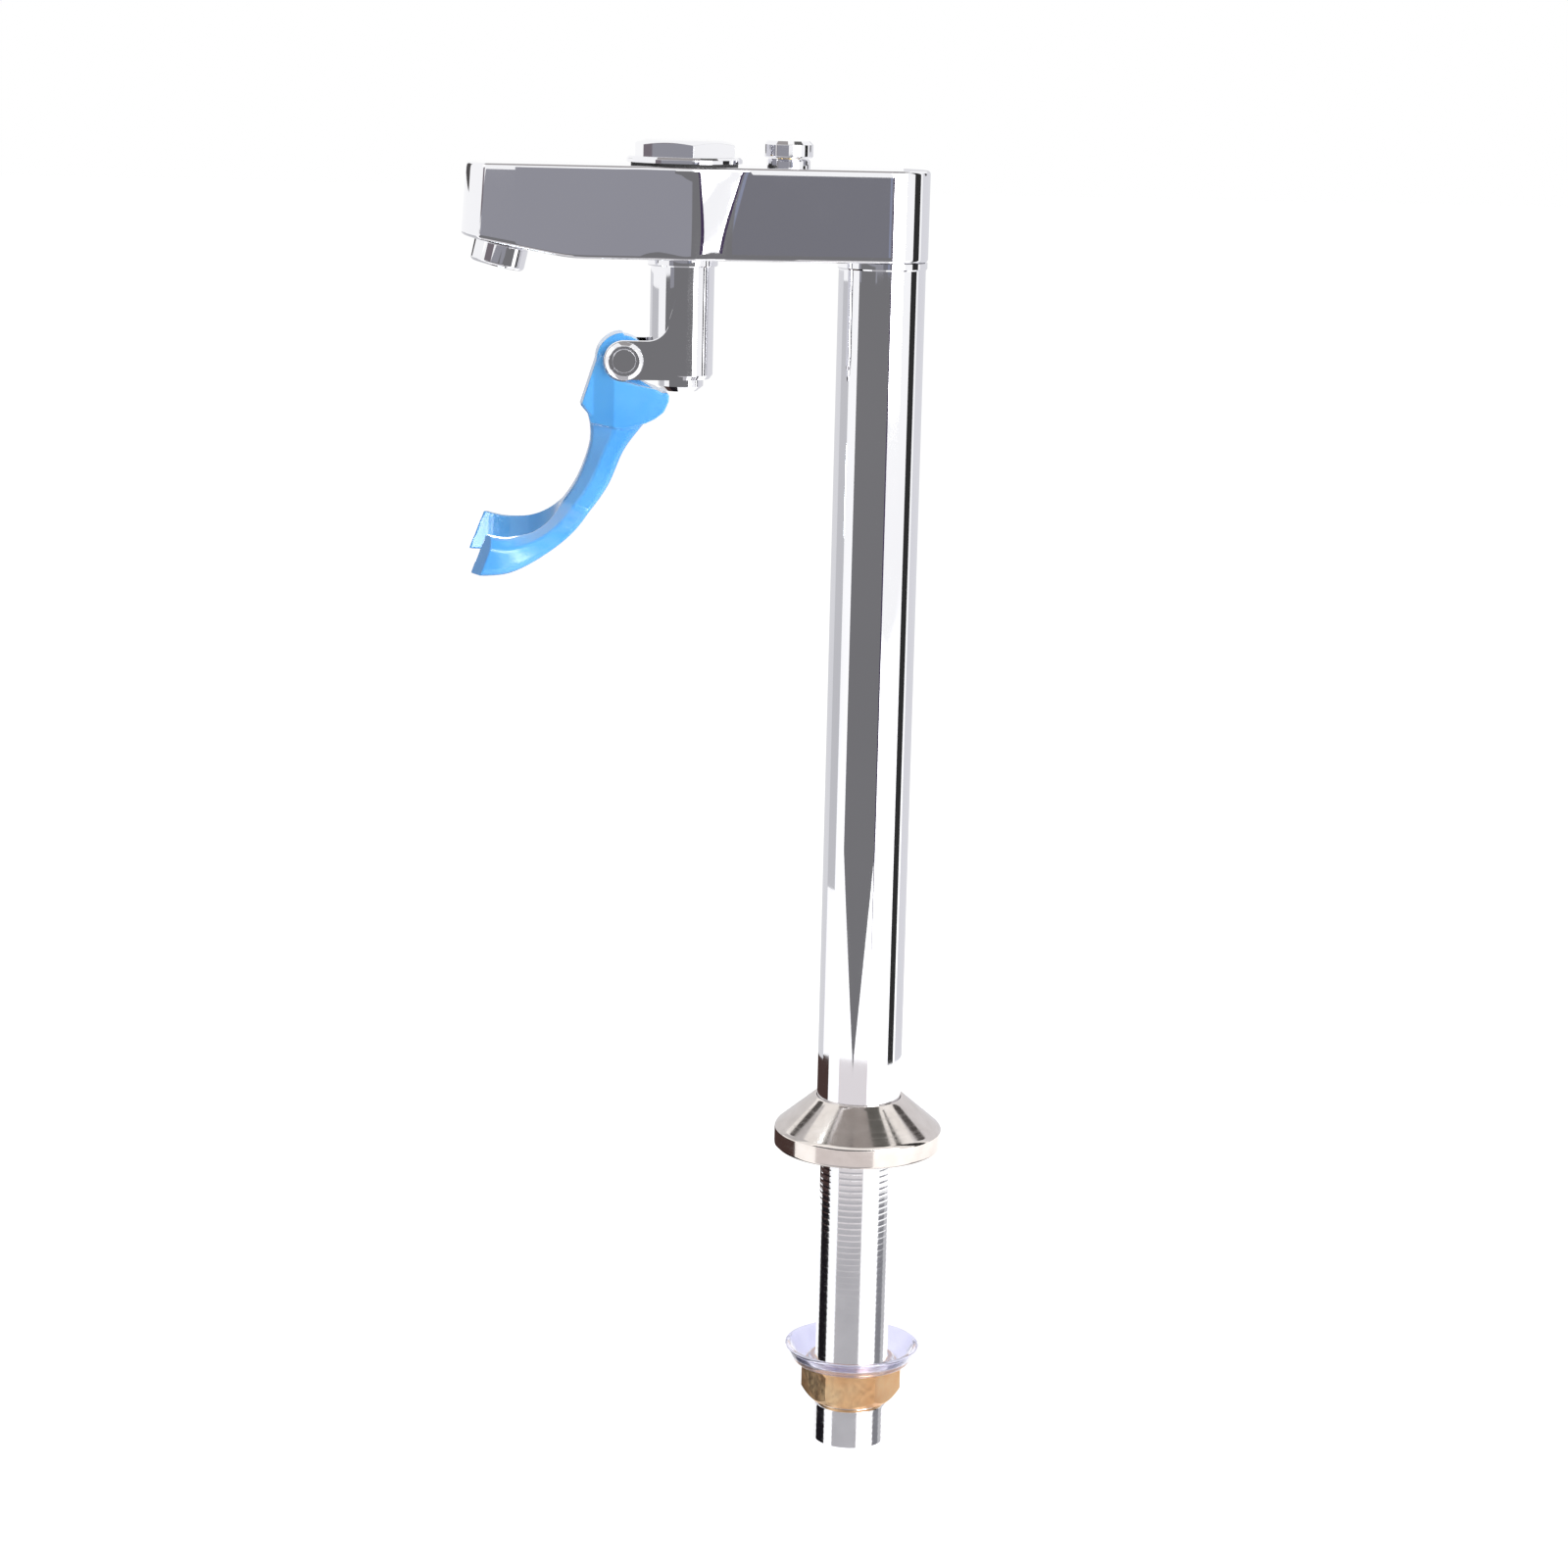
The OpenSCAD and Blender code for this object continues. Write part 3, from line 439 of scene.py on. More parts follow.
class Shop:
    """Mesh tools that all sub-assemblies share. Sizes come in millimetres."""

    @staticmethod
    def piece(name: str, points: Sequence[Point], faces: Sequence[Sequence[int]]) -> bpy.types.Object:
        """Make an object with outward faces.

        Args:
            name: Name of the object.
            points: Corner points in millimetres.
            faces: Corner numbers of each face.

        Returns:
            The object.
        """
        mesh = bpy.data.meshes.new(name)
        mesh.from_pydata([[value * MM for value in point] for point in points], [], faces)
        work = bmesh.new()
        work.from_mesh(mesh)
        bmesh.ops.remove_doubles(work, verts=work.verts, dist=WELD_DISTANCE)
        bmesh.ops.recalc_face_normals(work, faces=work.faces)
        work.to_mesh(mesh)
        work.free()
        made = bpy.data.objects.new(name, mesh)
        bpy.context.scene.collection.objects.link(made)
        return made

    @staticmethod
    def shift(place: Sequence[float]) -> Matrix:
        """Give the move to a place in millimetres, as a matrix in metres."""
        return Matrix.Translation([value * MM for value in place])

    @staticmethod
    def angles(steps: int) -> list[float]:
        """Give evenly spaced angles once round, from 0."""
        return [2 * math.pi * step / steps for step in range(steps)]

    @staticmethod
    def walls(count: int, rows: int, loop: bool = False) -> list[list[int]]:
        """Give the faces between rings that follow each other.

        Args:
            count: Points of one ring.
            rows: Count of rings.
            loop: Join the last ring to the first.

        Returns:
            Corner numbers of each face.
        """
        faces: list[list[int]] = []
        for row in range(rows if loop else rows - 1):
            low, high = row * count, ((row + 1) % rows) * count
            for spot in range(count):
                after = (spot + 1) % count
                faces.append([low + spot, low + after, high + after, high + spot])
        return faces

    @staticmethod
    def loft(name: str, rings: Sequence[Sequence[Point]], loop: bool = False) -> bpy.types.Object:
        """Skin a row of rings that have the same count of points.

        Args:
            name: Name of the object.
            rings: The rings in order.
            loop: Join the last ring to the first in place of flat ends.

        Returns:
            The object.
        """
        count, rows = len(rings[0]), len(rings)
        points = [point for ring in rings for point in ring]
        faces = Shop.walls(count, rows, loop)
        if not loop:
            faces.append(list(range(count - 1, -1, -1)))
            faces.append([(rows - 1) * count + spot for spot in range(count)])
        return Shop.piece(name, points, faces)

    @staticmethod
    def turn(name: str, outline: Sequence[Pair], steps: int = 128) -> bpy.types.Object:
        """Turn a closed outline of radius and height round the Z axis, which it keeps clear of."""
        ways = [(math.cos(angle), math.sin(angle)) for angle in Shop.angles(steps)]
        return Shop.loft(name, [[(r * c, r * s, z) for r, z in outline] for c, s in ways], loop=True)

    @staticmethod
    def stack(
        name: str, levels: Sequence[Pair], centre: Pair = (0.0, 0.0), steps: int = 96,
    ) -> bpy.types.Object:
        """Stack circles into a solid with flat ends.

        Args:
            name: Name of the object.
            levels: Radius and height of each circle, from the foot up.
            centre: X and Y of the axis.
            steps: Steps round the axis.

        Returns:
            The object.
        """
        ways = [(math.cos(angle), math.sin(angle)) for angle in Shop.angles(steps)]
        x, y = centre
        return Shop.loft(name, [[(x + r * c, y + r * s, z) for c, s in ways] for r, z in levels])

    @staticmethod
    def rod(name: str, width: float, low: float, high: float, centre: Pair = (0.0, 0.0)) -> bpy.types.Object:
        """Make a plain upright rod, as used for boring."""
        return Shop.stack(name, [(width / 2, low), (width / 2, high)], centre)

    @staticmethod
    def hexagon(
        name: str, across: float, low: float, high: float, centre: Pair, turn: float,
    ) -> bpy.types.Object:
        """Make a hexagonal bar.

        Args:
            name: Name of the object.
            across: Width across its flats.
            low: Lower end.
            high: Upper end.
            centre: X and Y of the axis.
            turn: Turn of its corners in degrees.

        Returns:
            The object.
        """
        radius = across / math.sqrt(3)
        turns = [math.radians(turn + 60 * step) for step in range(6)]
        corners = [(centre[0] + radius * math.cos(t), centre[1] + radius * math.sin(t)) for t in turns]
        return Shop.loft(name, [[(x, y, z) for x, y in corners] for z in (low, high)])

    @staticmethod
    def rounded(outline: Sequence[Pair], radius: float, steps: int = 4) -> list[Pair]:
        """Round the corners of a closed outline.

        Args:
            outline: The corners.
            radius: How far from a corner its rounding starts.
            steps: Steps of each rounding.

        Returns:
            The points of the rounded outline.
        """
        made: list[Pair] = []
        for spot, corner in enumerate(outline):
            ends = []
            for other in (outline[spot - 1], outline[(spot + 1) % len(outline)]):
                run = math.dist(corner, other)
                share = min(radius, LARGEST_ROUNDING * run) / run
                ends.append([here + (there - here) * share for here, there in zip(corner, other)])
            for step in range(steps + 1):
                t = step / steps
                before, middle, after = (1 - t) ** 2, 2 * t * (1 - t), t * t
                made.append(tuple(
                    before * ends[0][i] + middle * corner[i] + after * ends[1][i] for i in (0, 1)
                ))
        return made

    @staticmethod
    def plate(name: str, outline: Sequence[Pair], width: float) -> bpy.types.Object:
        """Extrude a side outline of Y and Z across X, centred."""
        return Shop.loft(name, [[(x, y, z) for y, z in outline] for x in (-width / 2, width / 2)])

    @staticmethod
    def settle(piece: bpy.types.Object) -> bpy.types.Object:
        """Keep the result of a piece's modifiers as its mesh.

        Args:
            piece: The piece.

        Returns:
            The same piece.
        """
        graph = bpy.context.evaluated_depsgraph_get()
        mesh = bpy.data.meshes.new_from_object(piece.evaluated_get(graph))
        piece.modifiers.clear()
        old, piece.data = piece.data, mesh
        bpy.data.meshes.remove(old)
        mesh.name = piece.name
        return piece

    @staticmethod
    def join(target: bpy.types.Object, tools: Sequence[bpy.types.Object], way: str) -> bpy.types.Object:
        """Cut, join or trim a piece with others, which are used up.

        Args:
            target: The piece that stays.
            tools: The pieces that are used.
            way: DIFFERENCE, UNION or INTERSECT.

        Returns:
            The piece that stays.
        """
        for tool in tools:
            step = target.modifiers.new("work", "BOOLEAN")
            step.operation, step.object, step.solver = way, tool, "EXACT"
        Shop.settle(target)
        for tool in tools:
            bpy.data.objects.remove(tool)
        return target

    @staticmethod
    def smooth(piece: bpy.types.Object, angle: float = 35.0, flats: bool = True) -> bpy.types.Object:
        """Shade a piece smoothly up to an angle between faces.

        Args:
            piece: The piece.
            angle: The angle in degrees.
            flats: Let the large faces keep their own direction, so that they mirror as flats.

        Returns:
            The same piece.
        """
        piece.data.shade_smooth()
        piece.data.set_sharp_from_angle(angle=math.radians(angle))
        if flats:
            step = piece.modifiers.new("flat_faces", "WEIGHTED_NORMAL")
            step.weight, step.keep_sharp = 100, True
            Shop.settle(piece)
        return piece

    @staticmethod
    def soften(piece: bpy.types.Object, width: float, angle: float = 30.0) -> bpy.types.Object:
        """Round the edges of a piece.

        Args:
            piece: The piece.
            width: Width of the rounding.
            angle: Least angle of an edge that is rounded, in degrees.

        Returns:
            The same piece.
        """
        step = piece.modifiers.new("soft", "BEVEL")
        step.width, step.segments, step.limit_method = width * MM, 3, "ANGLE"
        step.angle_limit = math.radians(angle)
        return Shop.settle(piece)


@dataclass
class Assembly:
    """A sub-assembly that puts its pieces on the frame.

    Attributes:
        rack: The finishes.
    """

    rack: FinishRack

    def fit(self, piece: bpy.types.Object, body: Body, slot: Slot, *nodes: str) -> bpy.types.Object:
        """Dress a piece, let it ride on a body and stand for its CAD nodes.

        Args:
            piece: The new piece.
            body: The body that it rides on.
            slot: Its finish.
            *nodes: The CAD nodes that it stands for.

        Returns:
            The same piece.
        """
        self.rack.dress(piece, slot)
        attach(piece, body.value)
        if nodes:
            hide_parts(*nodes)
        log.info("piece %s on %s, %d faces", piece.name, body.value, len(piece.data.polygons))
        return piece


@dataclass
class CastArm(Assembly):
    """The cast head: a box arm with a convex nose, a climbing underside and a swelling valve boss."""

    under: float = 253.0
    top: float = 278.0
    half_width: float = 12.5
    reach: float = 114.3
    nose_radius: float = 19.0
    nose_rake: float = 1.2
    climb_start: float = 86.0
    climb_deg: float = 10.5
    climb_blend: float = 8.0
    edge: float = 1.0
    valve_y: float = -55.0
    swell_top: float = 18.0
    swell_foot: float = 12.5
    boss_top: float = 4.0
    boss_foot: float = 1.8
    nozzle_y: float = -104.4
    nozzle_tilt: float = 13.0
    bored: tuple[tuple[float, float, float, float], ...] = (
        (16.04, 0.0, 252.5, 265.0), (9.0, 0.0, 253.0, 272.6),
        (16.0, -55.0, 252.0, 264.6), (20.0, -55.0, 264.5, 272.6), (22.0, -55.0, 272.2, 279.0),
        (10.1, -26.6, 262.3, 274.9), (12.04, -26.6, 274.4, 278.5),
    )
    waterways: tuple[tuple[float, float, float, float], ...] = (
        (6.6, 268.5, 0.0, -55.0), (4.6, 259.2, -55.0, -104.4),
    )
    socket: tuple[float, float, float] = (12.04, -2.0, 4.2)
    corner_inset: float = 0.9
    corner_run: float = 1.5
    nose_steps: int = 24
    corner_steps: int = 8
    flank_steps: int = 12
    swell_steps: int = 28
    back_steps: int = 7
    heel_steps: int = 32
    edge_steps: int = 6
    level_steps: int = 12
    crease: float = 24.0

    def underside(self, y: float) -> float:
        """Give the height of the underside.

        Args:
            y: Place along the arm.

        Returns:
            The height.
        """
        past, half = -y - self.climb_start, self.climb_blend / 2
        slope = math.tan(math.radians(self.climb_deg))
        if past < -half:
            return self.under
        if past < half:
            return self.under + (past + half) ** 2 / (2 * self.climb_blend) * slope
        return self.under + past * slope

    def half_outline(self) -> list[OutlineRow]:
        """Give one side of the arm seen from above, from nose to heel.

        Returns:
            Rows of x, y, normal x, normal y, share of the nose's rake, and place in the swell or None.
        """
        rows: list[OutlineRow] = []
        end = math.asin((self.half_width - self.corner_inset) / self.nose_radius)
        for step in range(self.nose_steps + 1):
            angle = end * step / self.nose_steps
            s, c = math.sin(angle), math.cos(angle)
            rows.append((self.nose_radius * s, -self.reach + self.nose_radius * (1 - c), s, -c, 1.0, None))
        start, side_y = (rows[-1][0], rows[-1][1]), rows[-1][1] + self.corner_run
        knee = (self.half_width, start[1] + (self.half_width - start[0]) * math.tan(end))
        for step in range(1, self.corner_steps + 1):
            t = step / self.corner_steps
            a, b = (knee[0] - start[0], knee[1] - start[1]), (self.half_width - knee[0], side_y - knee[1])
            x = start[0] + 2 * t * (1 - t) * a[0] + t * t * (self.half_width - start[0])
            y = start[1] + 2 * t * (1 - t) * a[1] + t * t * (side_y - start[1])
            dx, dy = (1 - t) * a[0] + t * b[0], (1 - t) * a[1] + t * b[1]
            size = math.hypot(dx, dy)
            rows.append((x, y, dy / size, -dx / size, 1.0, None))
        swell_y = self.valve_y - self.swell_top
        for step in range(1, self.flank_steps):
            y = side_y + (swell_y - side_y) * step / self.flank_steps
            rows.append((self.half_width, y, 1.0, 0.0, 0.0, None))
        for step in range(-self.swell_steps, self.swell_steps + 1):
            rows.append((self.half_width, self.valve_y, 1.0, 0.0, 0.0, step / self.swell_steps))
        for step in range(1, self.back_steps):
            y = (self.valve_y + self.swell_top) * (1 - step / self.back_steps)
            rows.append((self.half_width, y, 1.0, 0.0, 0.0, None))
        for step in range(self.heel_steps + 1):
            angle = math.pi / 2 * step / self.heel_steps
            c, s = math.cos(angle), math.sin(angle)
            rows.append((self.half_width * c, self.half_width * s, c, s, 0.0, None))
        return rows

    def ring(self, share: float, rise: float, inset: float) -> list[Point]:
        """Give one level of the skin.

        Args:
            share: Share of the height.
            rise: Height added to it.
            inset: Distance inside the full outline.

        Returns:
            The points of the closed ring.
        """
        near: list[Point] = []
        for x, y, nx, ny, nose, swell in self.half_outline():
            if swell is not None:
                length = self.swell_foot + (self.swell_top - self.swell_foot) * share
                out = self.boss_foot + (self.boss_top - self.boss_foot) * share * share
                y = self.valve_y + length * swell
                x += out * math.cos(math.pi / 2 * swell) ** 2
            y -= inset * ny + self.nose_rake * (1 - share) * nose
            low = self.underside(y)
            near.append((x - inset * nx, y, low + (self.top - low) * share + rise))
        return near + [(-x, y, z) for x, y, z in near[-2:0:-1]]

    def skin(self) -> bpy.types.Object:
        """Build the closed skin of the arm.

        Returns:
            The skin.
        """
        corner = [math.pi / 2 * step / self.edge_steps for step in range(self.edge_steps + 1)]
        edge = [(self.edge * (1 - math.cos(a)), self.edge * (1 - math.sin(a))) for a in corner]
        levels = [(0.0, rise, inset) for rise, inset in edge]
        levels += [(step / self.level_steps, 0.0, 0.0) for step in range(1, self.level_steps)]
        levels += [(1.0, -rise, inset) for rise, inset in reversed(edge)]
        rings = [self.ring(*level) for level in levels]
        count, rows = len(rings[0]), len(rings)
        faces = Shop.walls(count, rows)
        for base in (0, (rows - 1) * count):
            faces.append([base, base + 1, base + count - 1])
            for spot in range(1, count // 2 - 1):
                faces.append([base + spot, base + spot + 1, base + count - spot - 1, base + count - spot])
            faces.append([base + count // 2 - 1, base + count // 2, base + count // 2 + 1])
        return Shop.piece("cast_arm", [point for ring in rings for point in ring], faces)

    def bores(self) -> list[bpy.types.Object]:
        """Make the rods that bore the arm.

        Returns:
            The rods.
        """
        rods = [Shop.rod("bore", width, low, high, (0.0, y)) for width, y, low, high in self.bored]
        for width, height, start, end in self.waterways:
            way = Shop.rod("bore", width, 0.0, start - end)
            lie = Matrix.Rotation(math.pi / 2, 4, "X")
            way.data.transform(Shop.shift((0.0, start, height)) @ lie)
            rods.append(way)
        socket = Shop.rod("bore", *self.socket)
        lean = Matrix.Rotation(math.radians(-self.nozzle_tilt), 4, "X")
        socket.data.transform(Shop.shift((0.0, self.nozzle_y, self.underside(self.nozzle_y))) @ lean)
        return rods + [socket]

    def build(self) -> None:
        """Build the bored arm and put it on the stand."""
        arm = Shop.smooth(Shop.join(self.skin(), self.bores(), "DIFFERENCE"), self.crease)
        self.fit(arm, Body.STAND, Slot.CHROME, "head_body")


@dataclass
class ForkedLever(Assembly):
    """The moulded lever: a hub between the ears, a block under them and a stem that opens into a fork."""

    pivot: Point = (0.0, -71.1, 225.4)
    pin_width: float = 5.1
    hub_width: float = 10.6
    hub_radius: float = 7.4
    block_width: float = 16.4
    ear_clearance: float = 5.7
    stem_width: float = 15.0
    fork_inner: float = 24.0
    fork_outer: float = 30.5
    fork_front: float = 42.4
    front_line: tuple[Pair, ...] = (
        (-9.6, -13.8), (-8.6, -19.6), (-9.2, -25.0), (-12.4, -33.4),
        (-17.5, -40.6), (-24.2, -45.3), (-31.4, -46.7), (-37.6, -45.6),
    )
    back_line: tuple[Pair, ...] = (
        (8.6, -13.8), (4.5, -18.8), (0.2, -25.0), (-4.1, -34.9),
        (-10.9, -43.9), (-19.9, -50.6), (-30.9, -55.8), (-41.6, -56.4),
    )
    block_outline: tuple[Pair, ...] = (
        (-6.4, 1.4), (-8.4, -4.0), (-11.5, -12.6), (-9.5, -14.9), (-8.8, -17.4), (0.0, -18.6),
        (6.2, -17.0), (8.7, -15.8), (11.1, -13.9), (12.4, -11.0), (12.5, -9.2), (11.9, -8.6),
        (10.5, -8.6), (8.9, -7.7), (3.7, -6.6), (0.0, -5.6),
    )
    block_plan: tuple[Pair, ...] = ((1.0, 20.0), (1.0, -2.5), (0.42, -11.6))
    block_levels: Pair = (-20.0, 10.0)
    room_width: float = 40.0
    hub_core: float = 6.7
    hub_web: tuple[Pair, ...] = (
        (-7.4, 0.0), (-11.2, -12.0), (-9.0, -15.0), (8.0, -14.5), (8.0, -7.4), (4.2, -5.2),
    )
    pin_reach: float = 15.0
    merge_power: int = 5
    ridge_start: float = 0.54
    ridge_shift: float = 0.24
    face_share: float = 0.42
    face_rim: float = 2.4
    face_growth: float = 2.2
    face_wait: float = 0.9
    flank: tuple[Pair, ...] = ((1.3, 0.0), (0.3, 0.05), (0.0, 0.2))
    ridge_edge: tuple[Pair, ...] = ((0.0, 0.08), (0.4, 0.0))
    face_edge: tuple[Pair, ...] = ((0.6, 0.95), (-0.8, 1.0))
    blade_steps: int = 84
    flare: float = 0.1
    fork_root: float = 56.0
    glass_reach: float = 22.0
    horn_end: Point = (24.0, -37.6, -45.6)
    trim_box: tuple[Pair, Pair, Pair] = ((-14.0, 6.0), (-12.0, 0.0), (-1.0, 9.0))
    end_rise: float = 0.37
    end_turn: float = 0.44
    grain: float = 0.26
    quick_grain: float = 0.5

    @staticmethod
    def on_line(line: Sequence[Pair], place: float) -> Pair:
        """Give a point on a smooth curve through listed points.

        Args:
            line: The points.
            place: Place from 0 to the count of points less 1.

        Returns:
            Y and Z of the point.
        """
        first = min(int(place), len(line) - 2)
        t = place - first
        a, b, c, d = (line[min(max(first + k, 0), len(line) - 1)] for k in (-1, 0, 1, 2))

        def mix(i: int) -> float:
            """Give one coordinate of the point.

            Args:
                i: 0 for Y, 1 for Z.

            Returns:
                The coordinate.
            """
            return 0.5 * (
                2 * b[i] + (c[i] - a[i]) * t + (2 * a[i] - 5 * b[i] + 4 * c[i] - d[i]) * t * t
                + (3 * b[i] - a[i] - 3 * c[i] + d[i]) * t ** 3
            )

        return mix(0), mix(1)

    def blade_ring(self, share: float) -> list[Point]:
        """Give one cross section of the stem and fork.

        Args:
            share: Place from the block to the fork's tips.

        Returns:
            The points of the ring, from the pivot.
        """
        place = share * (len(self.front_line) - 1)
        front, back = self.on_line(self.front_line, place), self.on_line(self.back_line, place)
        run = (front[0] - back[0], front[1] - back[1])
        off = (front[0] + back[0]) / 2 + self.fork_front
        fork = math.sqrt(self.fork_outer ** 2 - off * off) if abs(off) < self.fork_outer else 0.0
        shoulder = max(0.0, 1 - 4 * share) * (self.block_width - self.stem_width) / 2
        power = self.merge_power
        w = ((self.stem_width / 2 + shoulder) ** power + fork ** power) ** (1 / power)
        ridge = self.ridge_start + self.ridge_shift * share
        growth = min(1.0, max(0.0, self.face_growth * share - self.face_wait))
        face = w * self.face_share + (w - self.face_rim - w * self.face_share) * growth
        half = [(w - inset, depth) for inset, depth in self.flank]
        half += [(w - inset, ridge - before) for inset, before in self.ridge_edge]
        half += [(face + out, depth) for out, depth in self.face_edge]
        row = half + [(-x, depth) for x, depth in reversed(half)]
        return [(x, back[0] + run[0] * depth, back[1] + run[1] * depth) for x, depth in row]

    def blade(self) -> bpy.types.Object:
        """Build the stem and the fork.

        Returns:
            The blade.
        """
        count = self.blade_steps
        blade = Shop.loft("blade", [self.blade_ring(step / count) for step in range(count + 1)])
        rises = (-self.glass_reach, self.glass_reach)
        levels = [(self.fork_inner + self.flare * rise, rise - self.fork_root) for rise in rises]
        glass = Shop.stack("glass_room", levels, (0.0, -self.fork_front))
        return Shop.join(blade, [glass, self.end_trim(1.0), self.end_trim(-1.0)], "DIFFERENCE")

    def end_trim(self, side: float) -> bpy.types.Object:
        """Build the block that slants the end of one horn.

        Args:
            side: 1 for the near horn, -1 for the far one.

        Returns:
            The block.
        """
        points = []
        rises, aheads, outs = self.trim_box
        for rise in rises:
            for ahead in aheads:
                for out in outs:
                    y = self.horn_end[1] + ahead + self.end_turn * out + self.end_rise * rise
                    points.append((side * (self.horn_end[0] + out), y, self.horn_end[2] + rise))
        faces = [[0, 1, 3, 2], [4, 6, 7, 5], [0, 4, 5, 1], [2, 3, 7, 6], [0, 2, 6, 4], [1, 5, 7, 3]]
        return Shop.piece("end_trim", points, faces)

    @staticmethod
    def arc(radius: float, first: float, last: float, steps: int = 24) -> list[Pair]:
        """Give the Y and Z of points on an arc round the pivot, between two angles in degrees."""
        turns = [math.radians(first + (last - first) * step / steps) for step in range(steps + 1)]
        return [(radius * math.cos(turn), radius * math.sin(turn)) for turn in turns]

    def block(self) -> bpy.types.Object:
        """Build the wide block under the ears with its pad.

        Returns:
            The block.
        """
        block = Shop.plate("block", self.block_outline, self.block_width)
        half = self.block_width / 2
        plan = [(share * half, y) for share, y in self.block_plan]
        plan += [(-x, y) for x, y in reversed(plan)]
        trim = Shop.loft("trim", [[(x, y, z) for x, y in plan] for z in self.block_levels])
        Shop.join(block, [trim], "INTERSECT")
        room = Shop.plate("ear_room", self.arc(self.ear_clearance, *FULL_TURN), self.room_width)
        return Shop.join(block, [room], "DIFFERENCE")

    def hub(self) -> list[bpy.types.Object]:
        """Build the hub between the ears.

        Returns:
            Its overlapping parts.
        """
        outlines = {
            "hub": self.arc(self.hub_core, *FULL_TURN),
            "hub_front": self.arc(self.hub_radius, 90.0, 270.0),
            "hub_web": self.hub_web,
        }
        return [Shop.plate(name, outline, self.hub_width) for name, outline in outlines.items()]

    def build(self) -> None:
        """Build the lever as one moulded piece and put it on its body."""
        lever = Shop.join(self.block(), [self.blade(), *self.hub()], "UNION")
        lever.name = "forked_lever"
        merge = lever.modifiers.new("mould", "REMESH")
        merge.mode, merge.voxel_size = "VOXEL", self.grain * MM
        Shop.settle(lever)
        relax = lever.modifiers.new("relax", "SMOOTH")
        relax.factor, relax.iterations = 0.5, 4
        Shop.settle(lever)
        hole = Shop.rod("hole", self.pin_width, -self.pin_reach, self.pin_reach)
        hole.data.transform(Matrix.Rotation(math.pi / 2, 4, "Y"))
        Shop.join(lever, [hole], "DIFFERENCE")
        lever.data.transform(Shop.shift(self.pivot))
        self.fit(Shop.smooth(lever, SOFT_CREASE, flats=False), Body.LEVER, Slot.BLUE_PLASTIC, "push_lever")
        lever.visible_glossy = False


@dataclass
class ThreadedShank(Assembly):
    """The hollow shank with its half-inch pipe thread."""

    width: float = 20.955
    bore: float = 15.0
    foot: float = -90.0
    head: float = 30.0
    thread_top: float = 4.0
    pitch: float = 1.814
    depth: float = 0.025
    relief_foot: float = -78.0
    relief_height: float = 1.4
    relief_depth: float = 0.6
    chamfer: float = 1.2
    fade: float = 2.0
    groove_half: float = 0.24
    steps: int = 96
    rows_per_pitch: int = 12

    def groove(self, turn: float) -> float:
        """Give the depth of the thread at a place across one pitch, from 0 to 1."""
        off = abs(turn - 0.5) / self.groove_half
        return self.depth * (1 - off) if off < 1 else 0.0

    def relief(self, z: float) -> float:
        """Give the depth of the relief groove, between the locknut and the free end, at a height."""
        off = abs(z - self.relief_foot - self.relief_height / 2)
        return max(0.0, min(self.relief_depth, self.relief_height / 2 - off))

    def skin_radius(self, z: float, share: float) -> float:
        """Give the radius of the skin with its thread, its relief groove and its chamfered end.

        Args:
            z: Height.
            share: Share of the turn round the axis.

        Returns:
            The radius at that place.
        """
        chamfer = max(0.0, self.chamfer - (z - self.foot))
        fade = min(1.0, max(0.0, (self.thread_top - z) / self.fade))
        groove = fade * self.groove(((z - self.foot) / self.pitch - share) % 1.0)
        return min(self.width / 2 - groove, self.width / 2 - chamfer, self.width / 2 - self.relief(z))

    def build(self) -> None:
        """Build the shank and put it on the stand."""
        rows = int((self.thread_top - self.foot) / self.pitch * self.rows_per_pitch)
        heights = [self.foot + (self.thread_top - self.foot) * row / rows for row in range(rows + 1)]
        ways = [
            (step / self.steps, math.cos(angle), math.sin(angle))
            for step, angle in enumerate(Shop.angles(self.steps))
        ]
        rings: list[list[Point]] = []
        for z in heights:
            skin = [(self.skin_radius(z, share), c, s) for share, c, s in ways]
            rings.append([(r * c, r * s, z) for r, c, s in skin])
        for width, z in ((self.width, self.head), (self.bore, self.head), (self.bore, self.foot)):
            rings.append([(width / 2 * c, width / 2 * s, z) for _, c, s in ways])
        shank = Shop.smooth(Shop.loft("threaded_shank", rings, loop=True))
        self.fit(shank, Body.STAND, Slot.THREAD_CHROME, "shank")


@dataclass
class Column(Assembly):
    """The polished column tube."""

    width: float = 24.0
    bore: float = 21.0
    foot: float = 9.0
    top: float = 251.0

    def build(self) -> None:
        """Build the tube and put it on the stand."""
        inner, outer = self.bore / 2, self.width / 2
        outline = [(inner, self.foot), (outer, self.foot), (outer, self.top), (inner, self.top)]
        tube = Shop.smooth(Shop.turn("column_tube", outline, steps=FINE_STEPS))
        self.fit(tube, Body.STAND, Slot.CHROME, "riser_tube")


@dataclass
class Escutcheon(Assembly):
    """The bell escutcheon, with its upright rim and turned cone."""

    edge: float = 0.35
    outline: tuple[Pair, ...] = (
        (20.5, 0.0), (23.5, 0.0), (23.995, 0.5), (23.995, 5.6), (23.5, 6.3), (13.9, 14.4),
        (12.9, 15.2), (12.1, 15.2), (12.1, 9.0), (10.63, 9.0), (10.63, 3.0), (20.5, 3.0),
    )

    def build(self) -> None:
        """Build the escutcheon and put it on the stand."""
        bell = Shop.turn("bell_escutcheon", Shop.rounded(self.outline, self.edge), steps=FINE_STEPS)
        self.fit(Shop.smooth(bell, SOFT_CREASE), Body.STAND, Slot.WARM_CHROME, "escutcheon")


